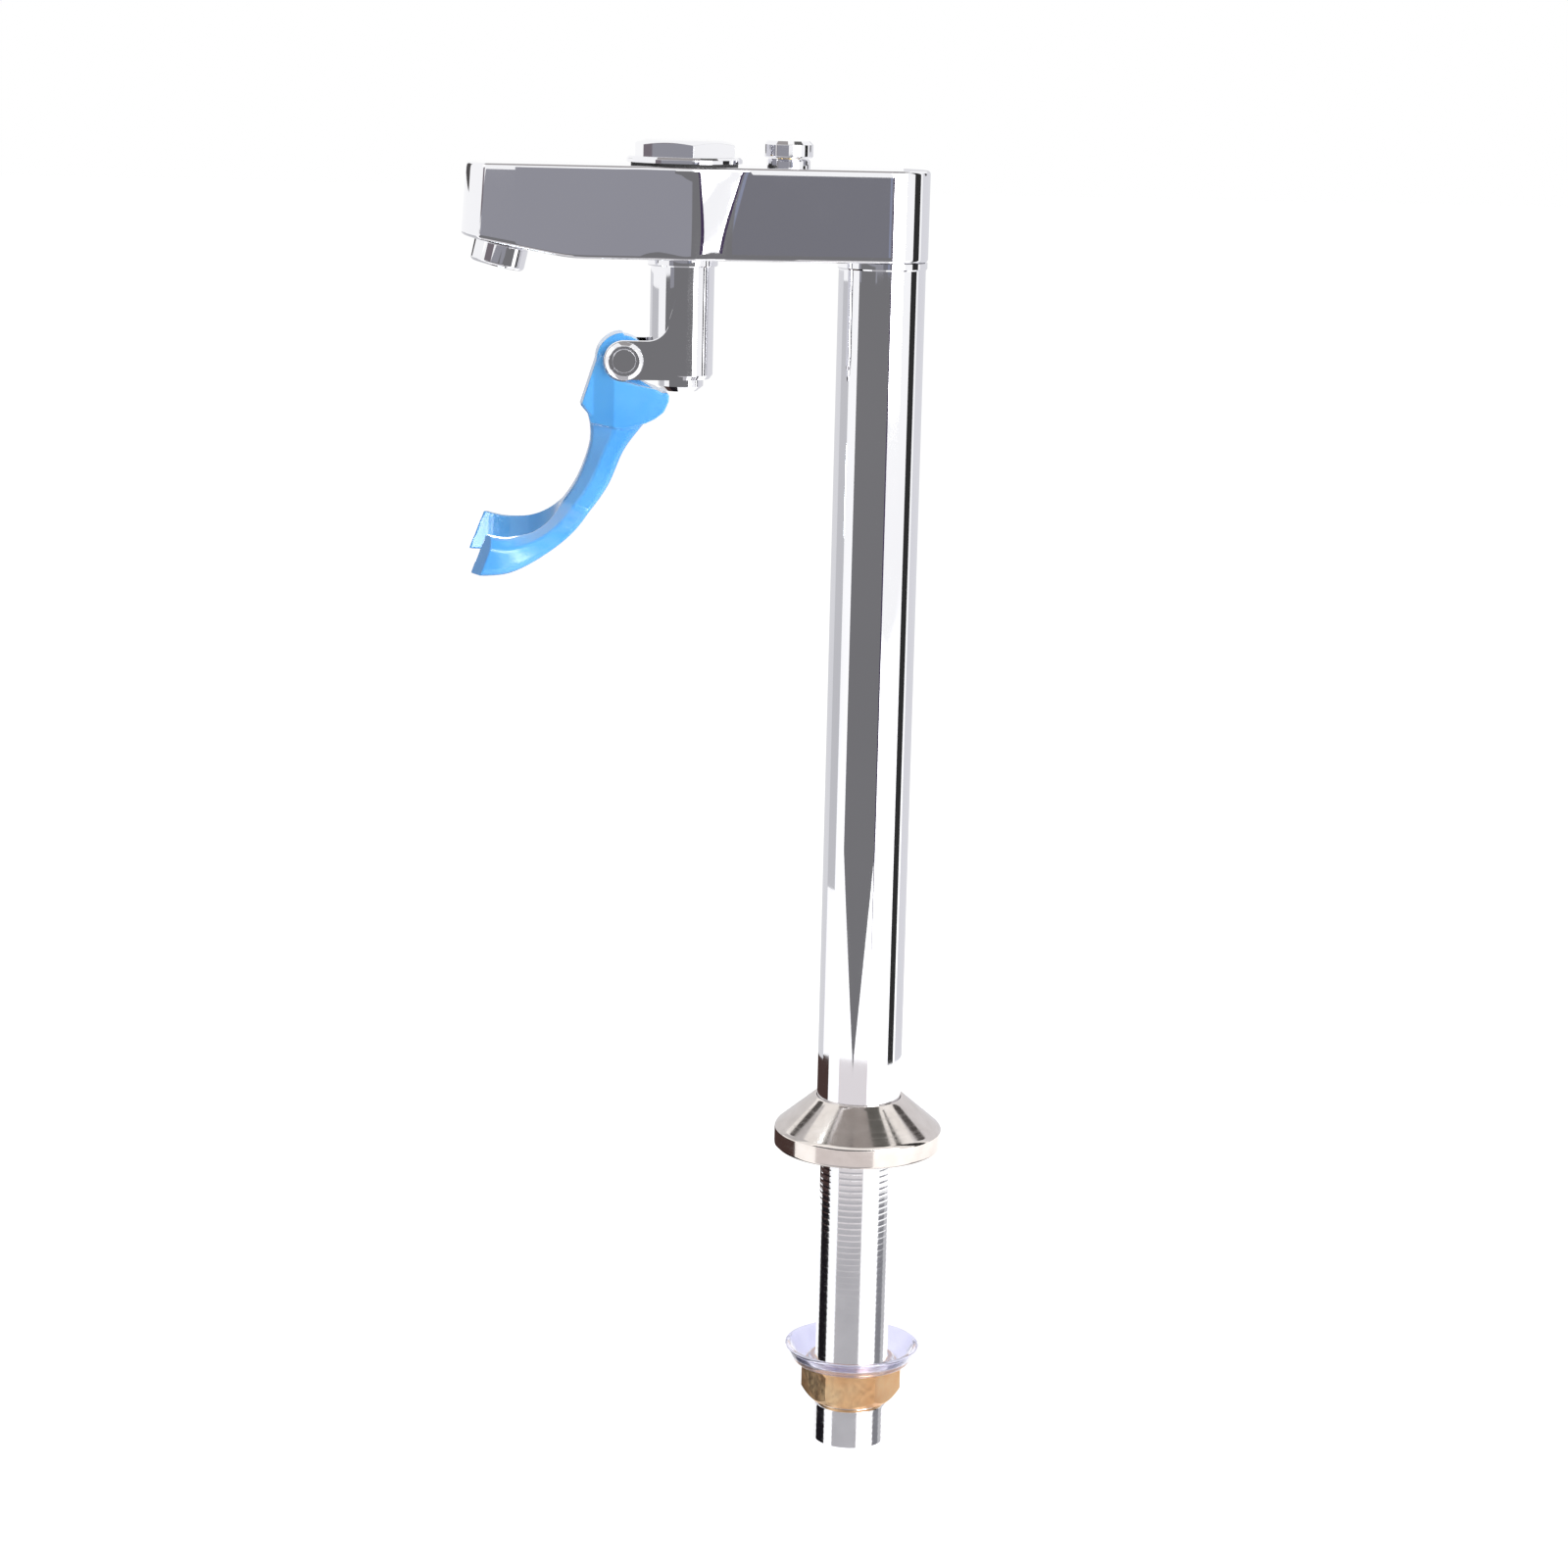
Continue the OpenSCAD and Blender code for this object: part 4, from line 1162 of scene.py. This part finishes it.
@dataclass
class DeckFixings(Assembly):
    """The dished clear washer and the brass locknut under the worktop."""

    washer_z: float = -66.0
    washer_outline: tuple[Pair, ...] = (
        (10.58, 0.0), (14.25, 0.0), (17.25, 1.4), (18.75, 4.9), (19.45, 5.2), (19.45, 5.9), (18.05, 5.9),
        (16.05, 2.8), (13.45, 1.4), (12.58, 1.4), (11.98, 2.2), (10.58, 2.2),
    )
    washer_soft: float = 0.5
    nut_z: float = -76.45
    nut_height: float = 10.4
    nut_across: float = 25.0
    nut_bore: float = 21.055
    nut_turn: float = 23.0
    nut_soft: float = 0.22
    nut_chamfer: tuple[float, float, float, float, float] = (11.7, 14.62, 2.9, 0.8, 13.0)

    def washer(self) -> None:
        """Build the washer and put it on its body."""
        outline = [(r, self.washer_z + z) for r, z in Shop.rounded(self.washer_outline, self.washer_soft)]
        washer = Shop.smooth(Shop.turn("clear_washer", outline, steps=144), SOFT_CREASE)
        self.fit(washer, Body.WASHER, Slot.CLEAR_PLASTIC, "dished_washer")
        washer.visible_glossy = False

    def nut(self) -> None:
        """Build the nut and put it on its body."""
        foot, top = self.nut_z, self.nut_z + self.nut_height
        nut = Shop.hexagon("brass_locknut", self.nut_across, foot, top, (0.0, 0.0), self.nut_turn)
        foot_radius, radius, rise, drop, top_radius = self.nut_chamfer
        levels = [(foot_radius, foot), (radius, foot + rise), (radius, top - drop), (top_radius, top)]
        Shop.join(nut, [Shop.stack("chamfer", levels)], "INTERSECT")
        Shop.join(nut, [Shop.rod("bore", self.nut_bore, foot - 1.0, top + 1.0)], "DIFFERENCE")
        nut = Shop.smooth(Shop.soften(nut, self.nut_soft))
        self.fit(nut, Body.NUT, Slot.NUT_BRASS, "locknut")

    def build(self) -> None:
        """Build both pieces."""
        self.washer()
        self.nut()


@dataclass
class ArmFittings(Assembly):
    """The hexagonal cap, the regulator's knob and the nozzle, with the soft edges of plated metal."""

    soft: float = 0.25
    valve: Pair = (0.0, -55.0)
    cap_across: float = 25.0
    cap_turn: float = 5.5
    cap_levels: tuple[Pair, ...] = (
        (10.98, 272.6), (10.98, 278.8), (15.8, 278.8), (15.8, 279.8), (15.2, 280.4), (11.0, 280.4),
    )
    cap_chamfer: tuple[Pair, ...] = ((15.0, 280.0), (15.0, 283.5), (11.75, 284.5), (10.5, 284.9))
    pocket: tuple[float, float, float] = (11.3, 272.1, 281.8)
    regulator: Pair = (0.0, -26.6)
    knob_levels: tuple[Pair, ...] = ((6.3, 280.7), (6.7, 281.1), (6.7, 284.2), (5.7, 285.2))
    knob_bore: tuple[float, float, float] = (6.04, 280.2, 284.0)
    slot_width: float = 1.6
    slot_foot: float = 284.3
    slot_top: float = 287.0
    slot_reach: float = 9.0
    nozzle_soft: float = 0.3
    nozzle_place: Point = (0.0, -104.4, 256.41)
    nozzle_tilt: float = 13.0
    nozzle_outline: tuple[Pair, ...] = (
        (3.8, 3.9), (3.8, -2.0), (4.8, -2.0), (4.8, -6.4), (6.8, -6.4), (7.5, -5.7), (7.5, -0.45),
        (6.0, -0.45), (6.0, 1.4), (4.95, 1.4), (4.95, 2.6), (6.0, 2.6), (6.0, 3.9),
    )

    def cap(self) -> None:
        """Build the cap and put it on the stand."""
        foot, top = self.cap_chamfer[0][1], self.cap_chamfer[-1][1]
        head = Shop.hexagon("head", self.cap_across, foot, top, self.valve, self.cap_turn)
        Shop.join(head, [Shop.stack("chamfer", self.cap_chamfer, self.valve)], "INTERSECT")
        cap = Shop.stack("hexagonal_cap", self.cap_levels, self.valve, steps=128)
        Shop.join(cap, [head], "UNION")
        width, low, high = self.pocket
        Shop.join(cap, [Shop.rod("pocket", width, low, high, self.valve)], "DIFFERENCE")
        self.fit(Shop.smooth(Shop.soften(cap, self.soft)), Body.STAND, Slot.CHROME, "valve_cap")

    def knob(self) -> None:
        """Build the slotted knob and put it on the regulator."""
        knob = Shop.stack("slotted_knob", self.knob_levels, self.regulator)
        width, low, high = self.knob_bore
        half, y, reach = self.slot_width / 2, self.regulator[1], self.slot_reach
        corners = [(-reach, y - half), (reach, y - half), (reach, y + half), (-reach, y + half)]
        slot = Shop.loft("slot", [[(a, b, z) for a, b in corners] for z in (self.slot_foot, self.slot_top)])
        Shop.join(knob, [Shop.rod("bore", width, low, high, self.regulator), slot], "DIFFERENCE")
        knob = Shop.smooth(Shop.soften(knob, self.soft))
        self.fit(knob, Body.REGULATOR, Slot.CHROME, "regulator_knob")

    def nozzle(self) -> None:
        """Build the nozzle and put it on the stand."""
        nozzle = Shop.turn("spout_nozzle", Shop.rounded(self.nozzle_outline, self.nozzle_soft), steps=96)
        lean = Matrix.Rotation(math.radians(-self.nozzle_tilt), 4, "X")
        nozzle.data.transform(Shop.shift(self.nozzle_place) @ lean)
        self.fit(Shop.smooth(nozzle, SOFT_CREASE), Body.STAND, Slot.CHROME, "nozzle")

    def build(self) -> None:
        """Build all three."""
        self.cap()
        self.knob()
        self.nozzle()


@dataclass
class ValveHousing(Assembly):
    """The housing under the arm, its two webbed ears with the raised ring, and the pivot pin."""

    soft: float = 0.3
    soft_from: float = 35.0
    ring_soft: float = 0.2
    pin_soft: float = 0.08
    axis: Pair = (0.0, -55.0)
    pivot: Point = (0.0, -71.1, 225.4)
    levels: tuple[Pair, ...] = ((7.85, 220.3), (8.75, 221.5), (8.75, 253.0), (7.98, 253.0), (7.98, 256.4))
    bores: tuple[tuple[float, float, float], ...] = (
        (12.5, 219.3, 232.0), (10.0, 231.0, 240.3), (5.1, 239.3, 257.4),
    )
    ear_radius: float = 5.4
    ear_inner: float = 5.6
    ear_width: float = 3.0
    web: tuple[Pair, ...] = ((16.1, -5.1), (16.1, 20.0), (14.6, 20.0), (13.8, 17.0), (12.2, 11.5))
    fillet: tuple[float, float, float] = (6.3, 11.3, 5.9)
    ear_arc: tuple[float, float, int] = (90.0, 289.0, 48)
    fillet_arc: tuple[float, float, int] = (0.0, -90.0, 14)
    pin_bore: tuple[float, float, float] = (5.04, -14.0, 14.0)
    head_room: tuple[float, float, float] = (7.9, 8.1, 12.0)
    ring_outline: tuple[Pair, ...] = ((4.0, 8.3), (5.3, 8.3), (5.3, 8.65), (4.15, 9.45), (4.0, 9.45))
    pin_levels: tuple[Pair, ...] = (
        (2.1, -10.7), (2.5, -10.3), (2.5, -9.45), (2.0, -9.45), (2.0, -8.58), (2.5, -8.58), (2.5, 8.1),
        (3.4, 8.1), (3.4, 8.65), (3.15, 8.9),
    )

    def ear(self, side: float) -> bpy.types.Object:
        """Build one ear with its web along the housing.

        Args:
            side: 1 for the near ear, -1 for the far one.

        Returns:
            The ear.
        """
        y, z, radius = self.fillet
        outline = [*ForkedLever.arc(self.ear_radius, *self.ear_arc), *self.web]
        outline += [(y + a, z + b) for a, b in ForkedLever.arc(radius, *self.fillet_arc)]
        ear = Shop.plate("ear", [*outline, (0.5, self.ear_radius)], self.ear_width)
        aside = side * (self.ear_inner + self.ear_width / 2)
        ear.data.transform(Shop.shift((self.pivot[0] + aside, *self.pivot[1:])))
        return ear

    def across(self, piece: bpy.types.Object) -> bpy.types.Object:
        """Lay a piece that was built upright along the pivot."""
        piece.data.transform(Shop.shift(self.pivot) @ Matrix.Rotation(math.pi / 2, 4, "Y"))
        return piece

    def housing(self) -> None:
        """Build the housing as one casting and put it on the stand."""
        housing = Shop.stack("eared_housing", self.levels, self.axis, steps=128)
        Shop.join(housing, [self.ear(1.0), self.ear(-1.0)], "UNION")
        cuts = [Shop.rod("bore", width, low, high, self.axis) for width, low, high in self.bores]
        cuts.append(self.across(Shop.rod("pin_bore", *self.pin_bore)))
        cuts.append(self.across(Shop.rod("head_room", *self.head_room)))
        Shop.join(housing, cuts, "DIFFERENCE")
        Shop.soften(housing, self.soft, angle=self.soft_from)
        ring = self.across(Shop.turn("ring", Shop.rounded(self.ring_outline, self.ring_soft)))
        Shop.join(housing, [ring], "UNION")
        self.fit(Shop.smooth(housing), Body.STAND, Slot.CHROME, "valve_housing")

    def pin(self) -> None:
        """Build the pivot pin with its flat head and put it on the stand."""
        pin = self.across(Shop.stack("pivot_pin_turned", self.pin_levels, steps=64))
        self.fit(Shop.smooth(Shop.soften(pin, self.pin_soft)), Body.STAND, Slot.CHROME, "pivot_pin")

    def build(self) -> None:
        """Build both pieces."""
        self.housing()
        self.pin()


@dataclass
class ReturnSpring(Assembly):
    """The coiled spring over the valve disc. On the tap it shortens as the button rises; this mesh keeps one
    length.
    """

    axis: Pair = (0.0, -55.0)
    foot: float = 269.65
    ceiling: float = 281.8
    clearance: float = 0.1
    width: float = 9.4
    wire: float = 1.1
    turns: int = 4
    steps: int = 40
    wire_steps: int = 10
    crease: float = 60.0
    stroke: float = 2.8

    def build(self) -> None:
        """Build the spring under the cap and put it on the stand."""
        count, inset = self.steps * self.turns, self.clearance + self.wire / 2
        low, high = self.foot + inset, self.ceiling - inset
        rings: list[list[Point]] = []
        for step in range(count + 1):
            angle, height = 2 * math.pi * step / self.steps, low + (high - low) * step / count
            ring: list[Point] = []
            for tilt in Shop.angles(self.wire_steps):
                radius = (self.width + self.wire * math.sin(tilt)) / 2
                x, y = self.axis[0] + radius * math.cos(angle), self.axis[1] + radius * math.sin(angle)
                ring.append((x, y, height + self.wire / 2 * math.cos(tilt)))
            rings.append(ring)
        spring = Shop.smooth(Shop.loft("coiled_return_spring", rings), self.crease, flats=False)
        self.fit(spring, Body.STAND, Slot.SPRING_STEEL, "return_spring")
        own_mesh(spring)


@dataclass
class CadPieces(Assembly):
    """The pieces that keep their CAD shape and only get a finish."""

    def build(self, frame: dict) -> None:
        """Dress every CAD node with the finish that the record gives it.
        """
        for row in frame["record"]["subparts"]:
            node = frame["nodes"][row["node"]]
            self.rack.dress(node, Slot(row["material_slot"]))
            log.info("node %s, %s", row["node"], row["material_slot"])


@dataclass(frozen=True)
class Reflector:
    """A grey card that shows in reflections and nowhere else.

    Attributes:
        name: Its name.
        grey: Its brightness.
    """

    name: str
    grey: Colour

    def strip(self) -> list[tuple[Point, Point]]:
        """Give the points of both long edges in metres, pair by pair."""
        raise NotImplementedError

    def build(self) -> bpy.types.Object:
        """Build the card with its own plain glow.

        Returns:
            The card.
        """
        material, bench = NodeBench.fresh(self.name)
        glow = bench.add("ShaderNodeEmission", Color=(*self.grey, 1.0), Strength=1.0)
        bench.add("ShaderNodeOutputMaterial", Surface=glow.outputs[0])
        strip = self.strip()
        points = [tuple(value / MM for value in point) for pair in strip for point in pair]
        faces = [[2 * k, 2 * k + 2, 2 * k + 3, 2 * k + 1] for k in range(len(strip) - 1)]
        card = Shop.piece(self.name, points, faces)
        card.data.materials.append(material)
        card.visible_camera = card.visible_diffuse = card.visible_shadow = False
        card.visible_transmission = card.visible_volume_scatter = False
        return card


@dataclass(frozen=True)
class RoundCard(Reflector):
    """An upright card that curves round the tap.

    Attributes:
        first: First bearing in degrees, from +X towards +Y.
        last: Last bearing in degrees.
        high: Height of its top in metres.
        low: Height of its foot: one value, or the values at the start, in the middle and at the end.
        radius: Distance from the column in metres.
    """

    first: float
    last: float
    high: float
    low: tuple[float, ...]
    radius: float = 0.41

    def strip(self) -> list[tuple[Point, Point]]:
        """Give the points of the foot and the top.

        Returns:
            Both points at each bearing.
        """
        start, middle, end = self.low if len(self.low) == 3 else self.low * 3
        made = []
        for step in range(CARD_STEPS + 1):
            share = step / CARD_STEPS
            angle = math.radians(self.first + (self.last - self.first) * share)
            side = start if share < 0.5 else end
            low = side + (middle - side) * (1 - abs(2 * share - 1))
            x, y = self.radius * math.cos(angle), self.radius * math.sin(angle)
            made.append(((x, y, low), (x, y, self.high)))
        return made


@dataclass(frozen=True)
class WallCard(Reflector):
    """A flat upright card.

    Attributes:
        start: X and Y of one end in metres.
        end: X and Y of the other end.
        low: Height of its foot.
        high: Height of its top.
    """

    start: Pair
    end: Pair
    low: float
    high: float

    def strip(self) -> list[tuple[Point, Point]]:
        """Give the points of the foot and the top at both ends."""
        return [((*spot, self.low), (*spot, self.high)) for spot in (self.start, self.end)]


@dataclass(frozen=True)
class LevelCard(Reflector):
    """A level card, laid out by where the column shows it.

    Attributes:
        first: Place on the column where it starts, in degrees from the camera's side.
        last: Place on the column where it ends.
        near: Distance of its near edge from the column's skin in metres.
        far: Distance of its far edge.
        z: Its height.
        bearing: Bearing of the camera in degrees.
        skin: Radius of the shank in metres.
    """

    first: float
    last: float
    near: float
    far: float
    z: float
    bearing: float = -7.0
    skin: float = 0.0105

    def strip(self) -> list[tuple[Point, Point]]:
        """Give the points of the near and the far edge.

        Returns:
            Both points for each place on the column.
        """
        made = []
        for step in range(CARD_STEPS + 1):
            place = self.first + (self.last - self.first) * step / CARD_STEPS
            spot, ray = math.radians(place + self.bearing), math.radians(2 * place + self.bearing)
            x, y = self.skin * math.cos(spot), self.skin * math.sin(spot)
            c, s = math.cos(ray), math.sin(ray)
            made.append(tuple((x + run * c, y + run * s, self.z) for run in (self.near, self.far)))
        return made


COLUMN_GREY = (0.185, 0.183, 0.19)
PANEL_GREY = (0.19, 0.19, 0.215)
NOSE_GREY = (0.3, 0.3, 0.335)
CEILING_GREY = (0.13, 0.13, 0.125)
BAND = {"high": 0.268, "low": (0.226,)}
TALL_FOOT = (-0.088,)
LOW_Z, HIGH_Z = -0.0904, 0.895

REFLECTORS: tuple[Reflector, ...] = (
    RoundCard("card_front", COLUMN_GREY, -68.0, 17.5, 0.226, (0.0, -0.088, 0.0)),
    RoundCard("card_right", PANEL_GREY, -4.5, 8.0, **BAND),
    RoundCard("card_bluish", (0.25, 0.27, 0.36), 8.0, 13.0, **BAND),
    RoundCard("card_right_end", PANEL_GREY, 13.0, 17.0, **BAND),
    RoundCard("card_nose", NOSE_GREY, -52.0, -4.5, **BAND),
    RoundCard("card_swell", NOSE_GREY, -66.0, -19.0, 0.2826, (0.2415,), 0.11),
    RoundCard("card_cap", (0.19, 0.165, 0.185), -66.0, -42.0, 0.31, (0.262,), 0.4),
    RoundCard("card_edge", (0.06, 0.04, 0.09), 15.5, 18.7, 0.3, (-0.06, -0.03, 0.02), 0.4),
    RoundCard("card_line", (0.03, 0.03, 0.03), 75.0, 96.0, 0.72, TALL_FOOT),
    RoundCard("card_streak", (0.08, 0.075, 0.075), 113.0, 124.0, 0.4, (0.27,), 0.4),
    RoundCard("card_rear", (0.74, 0.74, 0.77), 104.0, 172.0, 0.42, TALL_FOOT),
    RoundCard("card_left", (0.72, 0.72, 0.74), 174.0, 233.0, 0.226, TALL_FOOT),
    RoundCard("card_streak_left", (0.09, 0.085, 0.085), 216.0, 236.0, 0.38, (0.27,), 0.4),
    RoundCard("card_left_high", (0.56, 0.56, 0.58), 233.0, 266.0, 0.235, (0.03,), 0.21),
    WallCard("card_valve", COLUMN_GREY, (0.05, -0.0862), (0.05, -0.02), 0.2, 0.2497),
    WallCard("card_horn", (9.0, 10.0, 10.5), (-0.005, -0.118), (-0.005, -0.1), 0.165, 0.192),
    LevelCard("low_dark", (0.012, 0.01, 0.013), -68.0, -45.0, 0.001, 0.24, LOW_Z),
    LevelCard("low_grey", (0.5, 0.49, 0.51), -29.0, 11.0, 0.001, 0.24, LOW_Z),
    LevelCard("low_line", (0.25, 0.25, 0.27), 40.0, 53.0, 0.001, 0.24, LOW_Z),
    LevelCard("low_line_soft", (0.55, 0.55, 0.57), 53.0, 62.0, 0.001, 0.24, LOW_Z),
    LevelCard("far_dark", (0.07, 0.042, 0.038), -89.0, -47.0, 0.24, 0.42, LOW_Z),
    LevelCard("far_grey", (0.78, 0.74, 0.75), -29.0, 11.0, 0.24, 0.42, LOW_Z),
    LevelCard("overhead", (0.36, 0.34, 0.335), 0.0, 180.0, 0.001, 0.4, 0.9),
    LevelCard("overhead_dark", CEILING_GREY, 31.0, 63.5, 0.12, 0.42, HIGH_Z),
    LevelCard("overhead_left", CEILING_GREY, -46.5, -40.5, 0.36, 0.52, HIGH_Z),
)


@dataclass
class Studio:
    """A pale floor, soft lamps, a white world and the grey cards. Sizes are in metres."""

    floor_z: float = -0.0908
    floor_half: float = 9.0
    floor_colour: tuple[float, float, float, float] = (0.8, 0.8, 0.8, 1.0)
    key_place: Point = (1.1, 0.7, 0.5)
    side_place: Point = (0.7, -1.2, 0.9)
    floor_glow: float = 0.62
    fill: float = 0.5
    key_power: float = 16.0
    side_share: float = 0.05
    lamp_size: float = 0.9
    aim: Point = (0.0, -0.04, 0.1)

    def world(self) -> None:
        """Set a world that is white where it is seen and a plain fill where it lights."""
        world = bpy.data.worlds.new("white_room")
        bpy.context.scene.world = world
        world.use_nodes = True
        bench = NodeBench(world.node_tree)
        seen = self.seen(bench)
        light = bench.add("ShaderNodeBackground", Color=WHITE, Strength=self.fill)
        white = bench.add("ShaderNodeBackground", Color=WHITE, Strength=1.0)
        mix = bench.add("ShaderNodeMixShader", Fac=seen, i1=light.outputs[0], i2=white.outputs[0])
        bench.add("ShaderNodeOutputWorld", Surface=mix.outputs[0])

    @staticmethod
    def seen(bench: NodeBench) -> bpy.types.NodeSocket:
        """Tell where a ray from the camera, a mirror or a clear piece ends.

        Args:
            bench: The bench of the world or material.

        Returns:
            1 for such rays, otherwise 0.
        """
        path = bench.add("ShaderNodeLightPath")
        seen = path.outputs["Is Camera Ray"]
        for kind in ("Is Glossy Ray", "Is Transmission Ray"):
            either = bench.add("ShaderNodeMath", p_operation="MAXIMUM", i0=seen, i1=path.outputs[kind])
            seen = either.outputs[0]
        return seen

    def floor(self) -> bpy.types.Object:
        """Build the floor, white where it is seen, with the tap's soft shadow.

        Returns:
            The floor.
        """
        made, bench = NodeBench.fresh("floor_white")
        matt = bench.add("ShaderNodeBsdfDiffuse", Color=self.floor_colour)
        glow = bench.add("ShaderNodeEmission", Color=WHITE, Strength=self.floor_glow)
        both = bench.add("ShaderNodeAddShader", i0=matt.outputs[0], i1=glow.outputs[0])
        mix = bench.add("ShaderNodeMixShader", Fac=self.seen(bench), i1=matt.outputs[0], i2=both.outputs[0])
        bench.add("ShaderNodeOutputMaterial", Surface=mix.outputs[0])
        half, z = self.floor_half / MM, self.floor_z / MM
        corners = [(-half, -half, z), (half, -half, z), (half, half, z), (-half, half, z)]
        floor = Shop.piece("floor", corners, [[0, 1, 2, 3]])
        floor.data.materials.append(made)
        return floor

    def lamp(self, name: str, place: Point, power: float) -> None:
        """Hang one soft lamp that looks at the tap.

        Args:
            name: Its name.
            place: Where it hangs, in metres.
            power: Its power in watts.
        """
        data = bpy.data.lights.new(name, "AREA")
        data.size, data.energy = self.lamp_size, power
        lamp = bpy.data.objects.new(name, data)
        lamp.location = place
        lamp.rotation_euler = (Vector(self.aim) - Vector(place)).to_track_quat("-Z", "Y").to_euler()
        bpy.context.scene.collection.objects.link(lamp)

    def build(self) -> None:
        """Set up the whole studio."""
        self.world()
        self.floor()
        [reflector.build() for reflector in REFLECTORS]
        self.lamp("key_lamp", self.key_place, self.key_power)
        self.lamp("side_lamp", self.side_place, self.side_share * self.key_power)
        log.info("studio ready")


@dataclass
class PhotoCamera:
    """The camera that took the photograph, fitted to the column, the base and the arm."""

    bearing: float = 7.0
    pitch: float = 11.566
    roll: float = 1.372
    distance: float = 1.00579
    height: float = 0.31158
    focal_px: float = 3700.0
    frame_px: float = 1600.0
    aside_px: float = 86.99
    film_mm: float = 36.0
    clip: Pair = (0.05, 60.0)

    def build(self) -> None:
        """Place the camera."""
        swing = Matrix.Rotation(math.atan(self.aside_px / self.focal_px), 3, "Z")
        turn, pitch, roll = (math.radians(value) for value in (self.bearing, self.pitch, self.roll))
        outward, upright = Vector((math.cos(turn), -math.sin(turn), 0.0)), Vector((0.0, 0.0, 1.0))
        level = swing @ -outward
        right = level.cross(upright)
        ahead = level * math.cos(pitch) - upright * math.sin(pitch)
        up = right.cross(ahead)
        c, s = math.cos(roll), math.sin(roll)
        across, top = right * c + up * s, up * c - right * s
        data = bpy.data.cameras.new("photo_camera")
        data.sensor_width, data.lens = self.film_mm, self.focal_px / self.frame_px * self.film_mm
        data.clip_start, data.clip_end = self.clip
        camera = bpy.data.objects.new("photo_camera", data)
        place = outward * self.distance + upright * self.height
        rows = Matrix((across, top, -ahead)).transposed().to_4x4()
        camera.matrix_world = Matrix.Translation(place) @ rows
        bpy.context.scene.collection.objects.link(camera)
        bpy.context.scene.camera = camera
        log.info("camera at %.3f %.3f %.3f", *place)


ASSEMBLIES: tuple[type[Assembly], ...] = (
    CastArm, ForkedLever, ThreadedShank, Column, Escutcheon, DeckFixings, ArmFittings, ValveHousing,
    ReturnSpring,
)


def main() -> None:
    """Build the looks of the tap on its CAD frame."""
    logging.basicConfig(level=logging.INFO, format="%(name)s: %(message)s")
    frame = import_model()
    bpy.context.scene.view_settings.view_transform = "Standard"
    PhotoCamera().build()
    Studio().build()
    rack = FinishRack()
    rack.fill(FINISHES)
    CadPieces(rack).build(frame)
    for assembly in ASSEMBLIES:
        assembly(rack).build()


if __name__ == "__main__":
    main()
